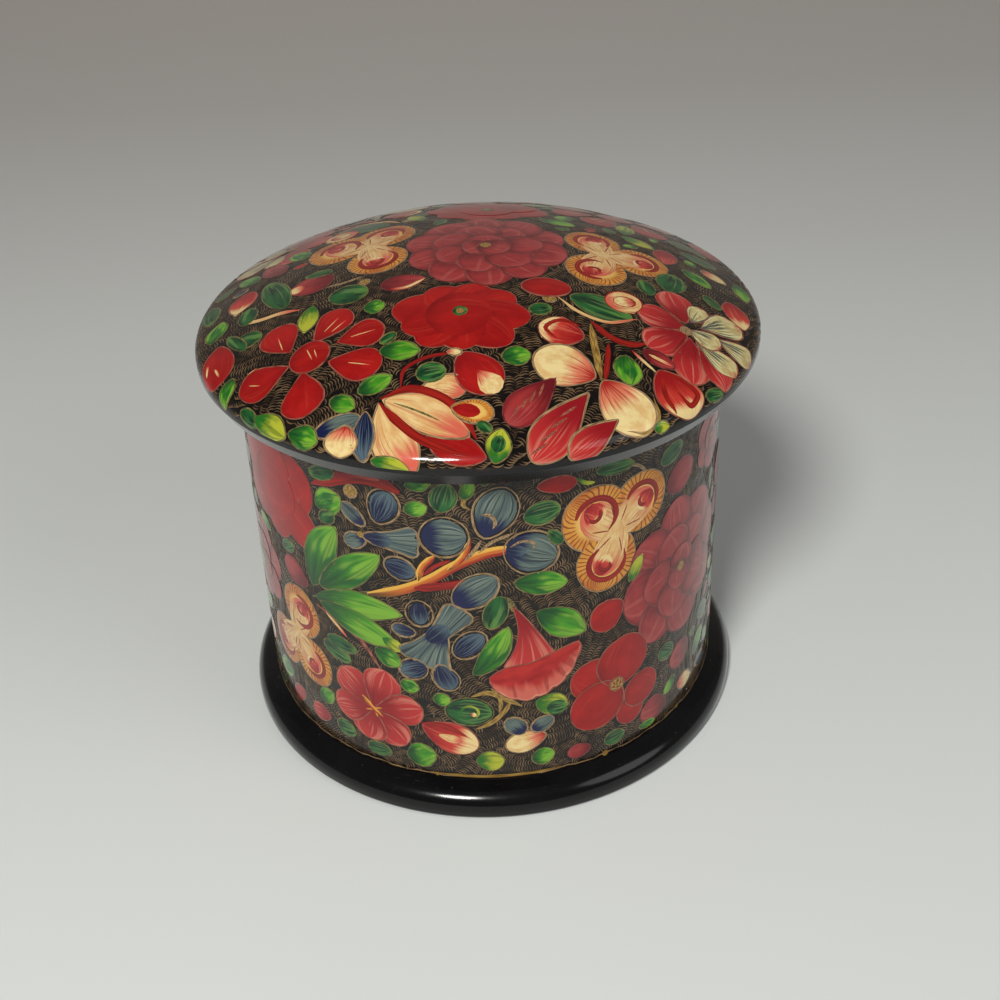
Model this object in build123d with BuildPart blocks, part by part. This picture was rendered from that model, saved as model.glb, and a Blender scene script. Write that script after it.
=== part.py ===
"""Round lacquered papier-mache trinket box with a domed lift-off lid and a flared black foot.

Millimetres, +Z up. The origin is the centre of the foot's flat underside, on the table.
Every piece is a body of revolution about Z, drawn as a half section in the XZ plane.
"""
import os
from math import atan2, cos, pi, sin

from build123d import *

# Box body
body_radius = 35.5        # painted wall, outside, where it meets the foot
mouth_taper = 0.6         # how much smaller that radius is at the mouth
wall_height = 54.2        # from the top of the foot to the mouth
wall_thickness = 2.0      # moulded pulp, at the mouth, where it is thinnest
paper_skin = 0.5          # pasted and primed paper that carries the painting
floor_thickness = 1.5

# Foot
foot_overhang = 3.4       # how far the foot stands out past the painted wall
foot_side = 3.1           # height of the foot's upright side
foot_slope = 1.4          # rise from the top of that side to the foot of the wall
foot_shoulder_round = 2.8 # which makes the foot a rounded moulding
foot_edge_round = 0.7

# Lid
lid_overhang = 5.1        # how far the lid's widest circle stands out past the mouth
crown_rise = 11.7         # from the lid's widest circle to the top of the dome
crown_edge_round = 2.3    # the dome turns down into its edge on this radius
dome_thickness = 2.0      # moulded pulp
board_thickness = 1.6     # flat ring that closes the underside of the lid
hoop_width = 1.4          # black edge band, measured along the radius
hoop_drop = 0.8           # how far the band hangs below the board
hoop_undercut = 1.1       # how far the band's lower edge is drawn in
hoop_lip = 0.5            # upright part of the band under the widest circle

# Collar under the lid
collar_thickness = 1.6
collar_depth = 7.0
collar_clearance = 0.3    # between the collar and the inside of the wall, along the radius
collar_lead = 0.6         # chamfer that guides the collar into the mouth

# Thin line of glue between round faces of one body
glue = 0.05

# Heights and radii that follow from the sizes above
foot_height = foot_side + foot_slope
foot_radius = body_radius + foot_overhang
mouth_height = foot_height + wall_height
mouth_radius = body_radius - mouth_taper
inner_radius = mouth_radius - paper_skin - wall_thickness
collar_radius = inner_radius - collar_clearance
collar_bore = collar_radius - collar_thickness
board_top = mouth_height + board_thickness
lid_radius = mouth_radius + lid_overhang
hoop_bore = lid_radius - hoop_width


def crown_points(inset):
    """Half section of the dome, drawn in from its outer face by inset.

    The crown arc starts on the axis and runs into a small edge arc, which ends upright at
    the widest circle. Returns start, middle and end of the one, then middle and end of the other.
    """
    radius = lid_radius - inset
    rise = crown_rise - inset
    edge = max(crown_edge_round - inset, paper_skin / 2)
    reach = radius - edge
    crown = (reach**2 + rise**2 - edge**2) / (2 * (rise - edge))
    centre = board_top + rise - crown
    turn = atan2(reach, board_top - centre)
    half_edge = (pi / 2 - turn) / 2
    return [
        (0, board_top + rise),
        (crown * sin(turn / 2), centre + crown * cos(turn / 2)),
        (crown * sin(turn), centre + crown * cos(turn)),
        (reach + edge * cos(half_edge), board_top + edge * sin(half_edge)),
        (radius, board_top),
    ]


def crown_shell(outer_inset, inner_inset):
    """Draws the closed half section of a dome shell between two insets, inside a BuildLine."""
    out_top, out_mid, out_turn, out_edge, out_foot = crown_points(outer_inset)
    in_top, in_mid, in_turn, in_edge, in_foot = crown_points(inner_inset)
    ThreePointArc(out_top, out_mid, out_turn)
    ThreePointArc(out_turn, out_edge, out_foot)
    Line(out_foot, in_foot)
    ThreePointArc(in_foot, in_edge, in_turn)
    ThreePointArc(in_turn, in_mid, in_top)
    Line(in_top, out_top)


# Foot: flared lacquered disc that the wall stands on
with BuildPart() as foot:
    with BuildSketch(Plane.XZ) as foot_section:
        with BuildLine():
            Polyline(
                (0, 0),
                (foot_radius, 0),
                (foot_radius, foot_side),
                (body_radius, foot_height),
                (0, foot_height),
                close=True,
            )
        make_face()
        # Each corner is looked up anew, because a fillet redraws the section
        upper_corner = foot_section.vertices().group_by(Axis.X)[-1].sort_by(Axis.Y)[-1]
        fillet(upper_corner, radius=foot_shoulder_round)
        lower_corner = foot_section.vertices().group_by(Axis.X)[-1].sort_by(Axis.Y)[0]
        fillet(lower_corner, radius=foot_edge_round)
    revolve(axis=Axis.Z)
foot.part.label = "foot"

# Floor board: lies on the foot, inside the wall
with BuildPart() as floor_board:
    with BuildSketch(Plane.XY.offset(foot_height)):
        Circle(inner_radius - glue)
    extrude(amount=floor_thickness)
floor_board.part.label = "floor_board"

# Wall core: moulded pulp tube, a little thicker at the foot than at the mouth
with BuildPart() as wall_core:
    with BuildSketch(Plane.XZ):
        with BuildLine():
            Polyline(
                (inner_radius, foot_height),
                (body_radius - paper_skin, foot_height),
                (mouth_radius - paper_skin, mouth_height),
                (inner_radius, mouth_height),
                close=True,
            )
        make_face()
    revolve(axis=Axis.Z)
wall_core.part.label = "wall_core"

# Wall skin: the paper layer that carries the painting
with BuildPart() as wall_skin:
    with BuildSketch(Plane.XZ):
        with BuildLine():
            Polyline(
                (body_radius - paper_skin + glue, foot_height),
                (body_radius, foot_height),
                (mouth_radius, mouth_height),
                (mouth_radius - paper_skin + glue, mouth_height),
                close=True,
            )
        make_face()
    revolve(axis=Axis.Z)
wall_skin.part.label = "wall_skin"

# Lid board: flat ring that rests on the mouth and carries the dome and the collar
with BuildPart() as lid_board:
    with BuildSketch(Plane.XY.offset(mouth_height)):
        Circle(hoop_bore - glue)
        Circle(collar_bore, mode=Mode.SUBTRACT)
    extrude(amount=board_thickness)
lid_board.part.label = "lid_board"

# Lid collar: drops into the mouth and keeps the lid in place
with BuildPart() as lid_collar:
    with BuildSketch(Plane.XY.offset(mouth_height)):
        Circle(collar_radius)
        Circle(collar_bore, mode=Mode.SUBTRACT)
    extrude(amount=-collar_depth)
    lowest_edges = lid_collar.edges().filter_by(GeomType.CIRCLE).group_by(Axis.Z)[0]
    lower_rim = lowest_edges.sort_by(SortBy.RADIUS)[-1]
    chamfer(lower_rim, length=min(collar_lead, collar_thickness / 2))
lid_collar.part.label = "lid_collar"

# Lid hoop: black edge band, widest at its top and drawn in towards its lower edge
with BuildPart() as lid_hoop:
    with BuildSketch(Plane.XZ):
        with BuildLine():
            Polyline(
                (hoop_bore, board_top),
                (lid_radius, board_top),
                (lid_radius, board_top - hoop_lip),
                (lid_radius - hoop_undercut, mouth_height - hoop_drop),
                (hoop_bore, mouth_height - hoop_drop),
                close=True,
            )
        make_face()
    revolve(axis=Axis.Z)
lid_hoop.part.label = "lid_hoop"

# Dome core: moulded pulp cap that stands on the board and the hoop
with BuildPart() as dome_core:
    with BuildSketch(Plane.XZ):
        with BuildLine():
            crown_shell(paper_skin, paper_skin + dome_thickness)
        make_face()
    revolve(axis=Axis.Z)
dome_core.part.label = "dome_core"

# Dome skin: the painted paper layer over the dome
with BuildPart() as dome_skin:
    with BuildSketch(Plane.XZ):
        with BuildLine():
            crown_shell(0, paper_skin - glue)
        make_face()
    revolve(axis=Axis.Z)
dome_skin.part.label = "dome_skin"

os.makedirs("parts", exist_ok=True)
export_step(foot.part, "parts/foot.step")
export_step(floor_board.part, "parts/floor_board.step")
export_step(wall_core.part, "parts/wall_core.step")
export_step(wall_skin.part, "parts/wall_skin.step")
export_step(lid_board.part, "parts/lid_board.step")
export_step(lid_collar.part, "parts/lid_collar.step")
export_step(lid_hoop.part, "parts/lid_hoop.step")
export_step(dome_core.part, "parts/dome_core.step")
export_step(dome_skin.part, "parts/dome_skin.step")

print("whole box:", round(board_top + crown_rise, 2), "mm high,", round(2 * lid_radius, 2), "mm across")
print("collar stands", collar_clearance, "mm clear of the wall and reaches", collar_depth, "mm into the mouth")
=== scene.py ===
"""Looks of a round lacquered papier-mache trinket box: flowers painted on a black ground under gloss varnish.

The painting is made of thin closed strips of paint. Each one is drawn flat in millimetres on a chart
of its surface, then laid on the wall or the dome. On the wall's chart x runs round the wall from its
front and y is the height above the table. The dome's chart is its plan, with the front towards -y;
past the shoulder, where the crown turns down into the rounded edge, it follows the surface.
"""
import math
import random

import bpy
import numpy as np
from mathutils import Matrix, Vector


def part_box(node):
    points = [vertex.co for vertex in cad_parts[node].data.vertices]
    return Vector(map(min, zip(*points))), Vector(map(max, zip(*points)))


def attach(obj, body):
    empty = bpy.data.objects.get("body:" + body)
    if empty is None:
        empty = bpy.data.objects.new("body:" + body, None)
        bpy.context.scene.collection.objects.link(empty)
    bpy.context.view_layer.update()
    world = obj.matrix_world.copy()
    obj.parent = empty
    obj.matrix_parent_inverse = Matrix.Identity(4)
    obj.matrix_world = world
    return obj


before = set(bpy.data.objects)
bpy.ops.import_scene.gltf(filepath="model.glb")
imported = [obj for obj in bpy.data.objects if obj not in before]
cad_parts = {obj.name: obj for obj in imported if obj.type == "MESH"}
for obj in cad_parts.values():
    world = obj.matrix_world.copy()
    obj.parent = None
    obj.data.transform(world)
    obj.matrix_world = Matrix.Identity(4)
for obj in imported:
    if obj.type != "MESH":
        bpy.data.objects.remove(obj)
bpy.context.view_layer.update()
mm = 0.001

# Surfaces that carry the painting, taken from the frame
wall_low, wall_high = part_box("wall_skin")
dome_low, dome_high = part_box("dome_skin")
wall_foot = wall_low.z / mm
wall_mouth = wall_high.z / mm
foot_radius = wall_high.x / mm
seat = dome_low.z / mm
crown_top = dome_high.z / mm
lid_radius = dome_high.x / mm
mouth_taper = 0.6
edge_round = 2.3
mouth_radius = foot_radius - mouth_taper
mean_radius = (foot_radius + mouth_radius) / 2
girth = 2 * math.pi * mean_radius

# Paint: a coat lies a number of levels above the surface, and a stroke's sides reach down into it by sink
first_coat = 0.012
coat_step = 0.012
coat_rise = 0.6
line_rise = 0.3
sink = 0.06
line_width = 0.24
faint_line_width = 0.17
varnish_ior = 1.36


class Wall:
    """The painted wall: x is the way round it from the front, y the height."""

    body = "box"
    reach = (-girth / 2, girth / 2, wall_foot, wall_mouth)
    spacing = 0.9
    bare_foot = 0.9
    bare_mouth = 0.4

    @staticmethod
    def place(flat, lift):
        turn = flat[..., 0] / mean_radius
        up = np.clip((flat[..., 1] - wall_foot) / (wall_mouth - wall_foot), 0, 1)
        radius = foot_radius + (mouth_radius - foot_radius) * up + lift
        height = np.clip(flat[..., 1], wall_foot, wall_mouth)
        return np.stack([radius * np.sin(turn), -radius * np.cos(turn), height], -1) * mm

    @staticmethod
    def normal(flat):
        turn = flat[..., 0] / mean_radius
        lean = (foot_radius - mouth_radius) / (wall_mouth - wall_foot)
        out = np.stack([np.sin(turn), -np.cos(turn), np.full_like(turn, lean)], -1)
        return out / np.linalg.norm(out, axis=-1, keepdims=True)

    @staticmethod
    def cell(flat):
        """How far apart a stroke's points may stand."""
        return Wall.spacing

    @staticmethod
    def inside(x, y):
        return wall_foot + Wall.bare_foot < y < wall_mouth - Wall.bare_mouth

    @staticmethod
    def grain_of(x, y, lean):
        """Which way a stroke of the hatching lies."""
        return lean


class Dome:
    """The painted dome: its chart is the plan as far as the shoulder, then the way along the edge."""

    body = "lid"
    span = lid_radius - edge_round
    rise = crown_top - seat
    crown = (span**2 + rise**2 - edge_round**2) / (2 * (rise - edge_round))
    centre = crown_top - crown
    turn = math.atan2(span, seat - centre)
    shoulder = crown * math.sin(turn)
    rim = shoulder + edge_round * (math.pi / 2 - turn)
    reach = (-rim, rim, -rim, rim)
    spacing = 1.0
    edge_spacing = 0.25
    bare_rim = 0.4

    @classmethod
    def lean(cls, radius):
        """Angle between the surface's normal and straight up, at a distance from the middle."""
        on_crown = np.arcsin(np.clip(radius / cls.crown, 0, 1))
        on_edge = cls.turn + (radius - cls.shoulder) / edge_round
        return np.where(radius < cls.shoulder, on_crown, np.minimum(on_edge, math.pi / 2 - 0.01))

    @classmethod
    def place(cls, flat, lift):
        radius = np.maximum(np.hypot(flat[..., 0], flat[..., 1]), 1e-9)
        lean = cls.lean(radius)
        on_crown = radius < cls.shoulder
        out = np.where(on_crown, cls.crown * np.sin(lean), cls.span + edge_round * np.sin(lean)) / radius
        crown_height = cls.centre + cls.crown * np.cos(lean)
        height = np.where(on_crown, crown_height, seat + edge_round * np.cos(lean))
        point = np.stack([flat[..., 0] * out, flat[..., 1] * out, height], -1)
        return (point + cls.normal(flat) * lift) * mm

    @classmethod
    def normal(cls, flat):
        radius = np.maximum(np.hypot(flat[..., 0], flat[..., 1]), 1e-9)
        lean = cls.lean(radius)
        out = np.sin(lean) / radius
        return np.stack([flat[..., 0] * out, flat[..., 1] * out, np.cos(lean)], -1)

    @classmethod
    def cell(cls, flat):
        """How far apart a stroke's points may stand, which is closer near the rounded edge."""
        farthest = np.hypot(flat[..., 0], flat[..., 1]).max()
        return cls.edge_spacing if farthest > cls.shoulder - 1.2 else cls.spacing

    @classmethod
    def inside(cls, x, y):
        return math.hypot(x, y) < cls.rim - cls.bare_rim

    @classmethod
    def grain_of(cls, x, y, lean):
        """Which way a stroke of the hatching lies; near the shoulder it runs round the lid."""
        return math.atan2(y, x) + math.pi / 2 if math.hypot(x, y) > cls.shoulder - 0.7 else lean


# Shader helpers

def shade(red, green, blue):
    """A colour as it looks, given in 0 to 255, as the linear colour that a shader takes."""
    parts = [c / 255 for c in (red, green, blue)]
    return tuple(c / 12.92 if c <= 0.04045 else ((c + 0.055) / 1.055) ** 2.4 for c in parts) + (1.0,)


class Socket:
    """One output of a node tree; sums and products of it add the Math nodes they need."""

    def __init__(self, nodes, socket):
        self.nodes = nodes
        self.socket = socket

    def maths(self, operation, *others, clamp=False):
        node = self.nodes.node("ShaderNodeMath", {"operation": operation, "use_clamp": clamp})
        for slot, value in zip(node.inputs, (self, *others)):
            self.nodes.join(slot, value)
        return Socket(self.nodes, node.outputs[0])

    def __add__(self, other):
        return self.maths("ADD", other)

    def __sub__(self, other):
        return self.maths("SUBTRACT", other)

    def __rsub__(self, other):
        return self.nodes.constant(other).maths("SUBTRACT", self)

    def __mul__(self, other):
        return self.maths("MULTIPLY", other)

    def __truediv__(self, other):
        return self.maths("DIVIDE", other)

    __radd__ = __add__

    def between(self, low, high):
        """0 below low, 1 above high, and smooth from one to the other."""
        node = self.nodes.node("ShaderNodeMapRange", {"interpolation_type": "SMOOTHSTEP"})
        for name, value in (("Value", self), ("From Min", low), ("From Max", high)):
            self.nodes.join(node.inputs[name], value)
        return Socket(self.nodes, node.outputs["Result"])


class Nodes:
    """A node tree under construction."""

    def __init__(self, tree):
        self.tree = tree

    def node(self, kind, settings=None):
        node = self.tree.nodes.new(kind)
        for name, value in (settings or {}).items():
            setattr(node, name, value)
        return node

    def join(self, slot, value):
        if isinstance(value, Socket):
            self.tree.links.new(value.socket, slot)
        else:
            slot.default_value = value

    def made(self, kind, settings=None, output=0, **values):
        """A node of any other kind, with its settings and the values or links of its sockets."""
        node = self.node(kind, settings)
        for name, value in values.items():
            self.join(node.inputs[name.replace("_", " ")], value)
        return Socket(self, node.outputs[output])


class Finish(Nodes):
    """A material under construction."""

    def __init__(self, name, gloss, coat=1.0, coat_gloss=0.06):
        self.material = bpy.data.materials.new(name)
        self.material.use_nodes = True
        super().__init__(self.material.node_tree)
        self.surface = self.tree.nodes["Principled BSDF"]
        # Under varnish the body itself shines less
        shine = {
            "Roughness": gloss, "Coat Weight": coat, "Coat Roughness": coat_gloss,
            "Coat IOR": varnish_ior, "Specular IOR Level": 0.5 - 0.42 * coat,
        }
        for slot, value in shine.items():
            self.surface.inputs[slot].default_value = value

    def constant(self, value):
        node = self.node("ShaderNodeValue")
        node.outputs[0].default_value = value
        return Socket(self, node.outputs[0])

    def mix(self, share, first, second):
        node = self.node("ShaderNodeMix", {"data_type": "RGBA"})
        for name, value in (("Factor_Float", share), ("A_Color", first), ("B_Color", second)):
            self.join(next(s for s in node.inputs if s.identifier == name), value)
        return Socket(self, next(s for s in node.outputs if s.identifier == "Result_Color"))

    def vector(self, x, y, z):
        return self.made("ShaderNodeCombineXYZ", X=x, Y=y, Z=z)

    def noise(self, vector, scale, detail=2.0, roughness=0.5):
        return self.made("ShaderNodeTexNoise", Vector=vector, Scale=scale, Detail=detail, Roughness=roughness)

    def parts(self, vector):
        node = self.node("ShaderNodeSeparateXYZ")
        self.join(node.inputs[0], vector)
        return [Socket(self, s) for s in node.outputs]

    def coordinates(self, name):
        return self.made("ShaderNodeTexCoord", output=name)

    def colour(self, value):
        self.join(self.surface.inputs["Base Color"], value)
        return self

    def rough(self, value):
        self.join(self.surface.inputs["Roughness"], value)
        return self

    def bump(self, height, distance, strength=1.0):
        bump = self.made("ShaderNodeBump", Height=height, Distance=distance, Strength=strength)
        self.join(self.surface.inputs["Normal"], bump)
        return self


# Paints: each has a tile of one map, four strokes to a tile, so that its colour depends on the map alone
paint_names = [
    "scarlet", "crimson", "pink", "cream", "blue", "navy", "leaf_green", "deep_green", "orange_rim",
    "flame", "brick", "twig", "gold_line", "lime", "ochre", "blush", "rose_line", "leaf_line",
    "striped", "frill", "maroon_line",
]
tiles = 5
strokes = 2
cells = tiles * strokes
margin = 0.07

# Paints whose outline isn't gold
faint_lines = {
    **dict.fromkeys(("scarlet", "pink", "blush", "frill", "brick"), "rose_line"),
    **dict.fromkeys(("leaf_green", "deep_green", "lime"), "leaf_line"),
    "crimson": "maroon_line",
}


def tile_of(name, variant):
    """Lower left corner of a stroke's cell on the map of paints."""
    index = paint_names.index(name)
    column = (index % tiles) * strokes + variant % strokes
    row = (index // tiles) * strokes + variant // strokes
    return column / cells, row / cells


class Paint(Finish):
    """A paint read along and across its stroke: along is 0 at the root and 1 at the tip."""

    def __init__(self, name, gloss=0.34):
        super().__init__("paint_" + name, gloss)
        place = self.made("ShaderNodeUVMap", {"uv_map": "OFBake"})
        x, y, _ = self.parts(place)
        column = (x * cells).maths("FLOOR")
        row = (y * cells).maths("FLOOR")
        inner = 1 - 2 * margin
        self.across = (x * cells - column - margin) / inner
        self.along = (y * cells - row - margin) / inner
        self.seed = column * 3.7 + row * 9.1
        self.side = (self.across * 2 - 1).maths("ABSOLUTE")

    def bristles(self, count, drag=1.4, detail=1.0):
        """Noise drawn out along the stroke, as a brush leaves it."""
        place = self.vector(self.across * count, self.along * drag, self.seed)
        return self.noise(place, 1.0, detail)

    def blotches(self, count=3.0):
        """Uneven patches, where wet paint has gathered."""
        place = self.vector(self.across * count, self.along * count, self.seed + 8.0)
        return self.noise(place, 1.0, 3.0, 0.6)

    def hairs(self, count, thin=0.62):
        """Fine separate lines along the stroke."""
        place = self.vector(self.across * count, self.along * 0.8, self.seed + 4.0)
        return self.noise(place, 1.0, 0.0).between(thin, thin + 0.07)

    def start(self, share, first, second):
        """The first colour, with a share of the second."""
        self.body = self.mix(share, shade(*first), shade(*second))

    def over(self, share, *colour):
        """A share of another colour over what is there."""
        self.body = self.mix(share, self.body, shade(*colour))


# How each paint is mixed, by its name
recipes = {}


def recipe(mixing):
    """Keeps the function that mixes a paint under the paint's name."""
    recipes[mixing.__name__] = mixing
    return mixing


@recipe
def scarlet(p):
    p.start(p.blotches(1.8).between(0.25, 0.75), (146, 12, 12), (174, 24, 20))
    root = 1 - (p.along + p.bristles(8) * 0.5).between(0.22, 0.75)
    p.over(root * 0.45, 98, 6, 10)
    rim = (p.side + p.bristles(6) * 0.2).between(0.7, 1.1)
    p.over(rim * 0.22, 100, 8, 12)
    p.over(p.hairs(15, 0.64) * p.along.between(0.2, 0.6) * 0.12, 206, 84, 60)


@recipe
def crimson(p):
    p.start(p.blotches(2.0).between(0.28, 0.72), (136, 32, 36), (160, 50, 50))
    root = 1 - (p.along + p.bristles(7) * 0.5).between(0.3, 0.9)
    p.over(root * 0.8, 84, 10, 18)
    rim = (p.side + p.bristles(5) * 0.2).between(0.7, 1.1)
    p.over(rim * 0.65, 94, 16, 24)
    p.over(p.hairs(14, 0.6) * p.along.between(0.3, 0.7) * 0.3, 192, 104, 94)
    tip = (p.along - rim * 0.2).between(0.72, 0.98)
    p.over(tip * 0.4, 178, 84, 78)


@recipe
def pink(p):
    p.start((p.along + p.blotches(1.8) * 0.6).between(0.45, 1.2), (142, 18, 26), (182, 46, 44))
    p.over(p.hairs(15) * (1 - p.along.between(0.4, 0.8)) * 0.6, 104, 12, 20)
    pale = p.bristles(17, 0.7).between(0.52, 0.64) * p.along.between(0.35, 0.75)
    p.over(pale * 0.6, 212, 132, 112)
    rim = (p.along + p.side * 0.25).between(0.98, 1.22)
    p.over(rim * 0.6, 218, 138, 114)


@recipe
def cream(p):
    p.start(p.blotches(4.0).between(0.35, 0.65), (235, 212, 150), (220, 180, 118))
    blush = 1 - (p.along + p.bristles(16, 0.7) * 0.5).between(0.5, 0.8)
    p.over(blush * 0.85, 212, 96, 76)
    root = 1 - (p.along + p.bristles(20, 0.6) * 0.5).between(0.3, 0.52)
    p.over(root, 164, 26, 26)
    streak = p.hairs(18, 0.62) * (1 - p.along.between(0.3, 0.62))
    p.over(streak * 0.7, 160, 32, 30)


@recipe
def blue(p):
    p.start(p.bristles(9).between(0.35, 0.7), (98, 112, 104), (70, 86, 88))
    p.over(1 - (p.along + p.bristles(18, 0.7) * 0.5).between(0.48, 0.76), 20, 27, 66)
    p.over(p.hairs(24, 0.56) * p.along.between(0.3, 0.55) * 0.75, 26, 34, 44)
    pale = p.bristles(26, 0.5).between(0.6, 0.7) * p.along.between(0.4, 0.7)
    p.over(pale * 0.45, 158, 168, 156)


@recipe
def navy(p):
    p.start((p.along + p.bristles(12) * 0.6).between(0.7, 1.35), (15, 22, 58), (74, 92, 102))
    p.over(p.hairs(15, 0.6) * 0.45, 104, 122, 128)


@recipe
def leaf_green(p):
    p.start(p.bristles(3.0, 1.6, 2.0).between(0.34, 0.66), (30, 98, 34), (74, 150, 30))
    root = 1 - (p.along + p.bristles(6, 1.2) * 0.7).between(0.42, 0.95)
    p.over(root * 0.85, 14, 58, 28)
    lit = (p.along * 0.5 + p.bristles(4.5, 2.2)).between(0.74, 0.96)
    p.over(lit * 0.6, 142, 184, 60)
    p.over(p.hairs(11, 0.62) * 0.35, 24, 78, 30)


@recipe
def deep_green(p):
    p.start(p.bristles(3.0, 1.6, 2.0).between(0.34, 0.66), (12, 46, 28), (34, 94, 42))
    vein = p.hairs(12, 0.6) * p.along.between(0.15, 0.4)
    p.over(vein * 0.4, 118, 150, 84)
    lit = (p.along + p.bristles(5, 2.0)).between(1.16, 1.42)
    p.over(lit * 0.5, 96, 150, 62)


@recipe
def orange_rim(p):
    middle_x = p.across - 0.5
    middle_y = p.along - 0.5
    reach = (middle_x * middle_x + middle_y * middle_y).maths("SQRT")
    p.start(p.blotches(4.0).between(0.34, 0.66), (216, 148, 58), (190, 108, 42))
    p.over(1 - (reach + p.blotches(5.0) * 0.1).between(0.3, 0.44), 226, 182, 96)
    spoke = middle_x.maths("ARCTAN2", middle_y)
    rays = (spoke * 42 + p.bristles(4, 4.0) * 2.2).maths("SINE").between(0.35, 0.9)
    p.over(rays * reach.between(0.3, 0.38) * 0.8, 104, 46, 20)


@recipe
def flame(p):
    p.start(p.blotches(4.0).between(0.35, 0.65), (232, 200, 138), (218, 170, 108))
    p.over((p.along + p.bristles(12, 0.9) * 0.5).between(0.8, 1.15), 214, 100, 80)
    p.over(p.hairs(27, 0.6) * 0.5, 184, 92, 62)


@recipe
def brick(p):
    p.start(p.bristles(5, 3.0).between(0.3, 0.7), (120, 16, 12), (160, 32, 20))


@recipe
def twig(p):
    p.start((p.along + p.bristles(3, 2.0) * 0.3).between(0.1, 0.5), (66, 56, 28), (196, 104, 38))
    p.over((p.across + p.bristles(3, 4.0) * 0.4).between(0.75, 1.0), 226, 172, 72)
    low = 1 - (p.across + p.bristles(3, 4.0) * 0.4).between(0.4, 0.62)
    p.over(low * p.along.between(0.2, 0.4), 150, 42, 24)


@recipe
def lime(p):
    p.start((p.along + p.blotches(3.5) * 0.7).between(0.5, 1.05), (36, 104, 30), (176, 180, 52))
    p.over(p.hairs(8, 0.62) * 0.5, 30, 84, 28)


@recipe
def ochre(p):
    p.start(p.bristles(7, 7.0).between(0.35, 0.7), (112, 82, 36), (182, 146, 74))


@recipe
def blush(p):
    p.start((p.along + p.blotches() * 0.6).between(0.4, 1.0), (150, 18, 22), (196, 56, 44))
    tip = (p.along + p.bristles(14, 0.8) * 0.35).between(0.78, 1.0)
    p.over(tip, 232, 206, 144)
    p.over(p.hairs(12, 0.64) * 0.4, 216, 116, 90)


@recipe
def striped(p):
    p.start(p.blotches(4.0).between(0.35, 0.65), (218, 206, 150), (188, 168, 112))
    streak = p.hairs(17, 0.52) * (1 - p.along.between(0.45, 0.8))
    p.over(streak * 0.9, 44, 66, 70)
    root = 1 - (p.along + p.bristles(15, 0.7) * 0.4).between(0.24, 0.48)
    p.over(root * 0.85, 40, 58, 76)
    p.over((p.along + p.blotches(4.0) * 0.5).between(1.1, 1.3) * 0.8, 188, 60, 50)


@recipe
def frill(p):
    p.start(p.blotches(3.0).between(0.35, 0.65), (152, 18, 22), (182, 38, 32))
    edge = (p.along + p.bristles(15, 0.8) * 0.5).between(0.72, 1.08)
    p.over(edge * 0.85, 206, 106, 88)
    shadow = p.hairs(20, 0.58) * p.along.between(0.4, 0.7)
    p.over(shadow * 0.55, 142, 26, 28)
    p.over((p.along + p.bristles(9) * 0.2).between(1.0, 1.12) * 0.6, 226, 168, 138)


# Thin lines, each from a dark and a light colour
line_colours = {
    "gold_line": ((104, 80, 56), (172, 142, 102)),
    "rose_line": ((98, 40, 34), (170, 104, 82)),
    "leaf_line": ((52, 56, 28), (140, 124, 74)),
    "maroon_line": ((70, 16, 20), (136, 66, 58)),
}


def mixed(name):
    """The material of a paint; the paint of a line is worn unevenly along its length."""
    if name in line_colours:
        p = Paint(name, gloss=0.3)
        worn = p.noise(p.vector(p.across * 2, p.along * 16, p.seed), 1.0).between(0.32, 0.68)
        p.start(worn, *line_colours[name])
    else:
        p = Paint(name)
        recipes[name](p)
    return p.colour(p.body).material


paints = [mixed(name) for name in paint_names]


def ground_finish():
    """Near-black varnished ground, browned unevenly with age."""
    f = Finish("varnished_ground", gloss=0.36)
    place = f.coordinates("Object")
    aged = f.noise(place, 90.0, 5.0, 0.6).between(0.42, 0.72)
    fine = f.noise(place, 900.0, 3.0, 0.6).between(0.45, 0.75)
    body = f.mix(aged, shade(8, 6, 5), shade(22, 14, 9))
    body = f.mix(fine * 0.5, body, shade(40, 28, 18))
    return f.colour(body).rough(0.3 + fine * 0.12)


def hatch_finish():
    """Fine strokes of dull gold-brown."""
    f = Finish("hatching_brown", gloss=0.4)
    place = f.coordinates("Object")
    worn = f.noise(place, 420.0, 3.0, 0.6).between(0.35, 0.65)
    return f.colour(f.mix(worn, shade(64, 48, 33), shade(124, 98, 69)))


def lacquer_finish():
    """Deep black gloss lacquer with faint dust and fine scratches."""
    f = Finish("black_lacquer", gloss=0.22, coat_gloss=0.13)
    place = f.coordinates("Object")
    cloudy = f.noise(place, 60.0, 4.0, 0.6).between(0.4, 0.75)
    specks = f.noise(place, 1900.0, 2.0, 0.5).between(0.7, 0.76)
    scratch = f.noise(f.made("ShaderNodeMapping", Vector=place, Scale=(1.0, 1.0, 14.0)), 700.0, 2.0)
    scratches = scratch.between(0.66, 0.7)
    body = f.mix(cloudy, shade(6, 6, 7), shade(15, 14, 16))
    body = f.mix(specks * 0.3, body, shade(84, 80, 74))
    f.colour(f.mix(scratches * 0.1, body, shade(60, 56, 54)))
    f.rough(0.2 + cloudy * 0.1 + scratches * 0.1)
    return f.bump(f.noise(place, 1100.0, 2.0), 0.000012, 0.9)


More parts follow.
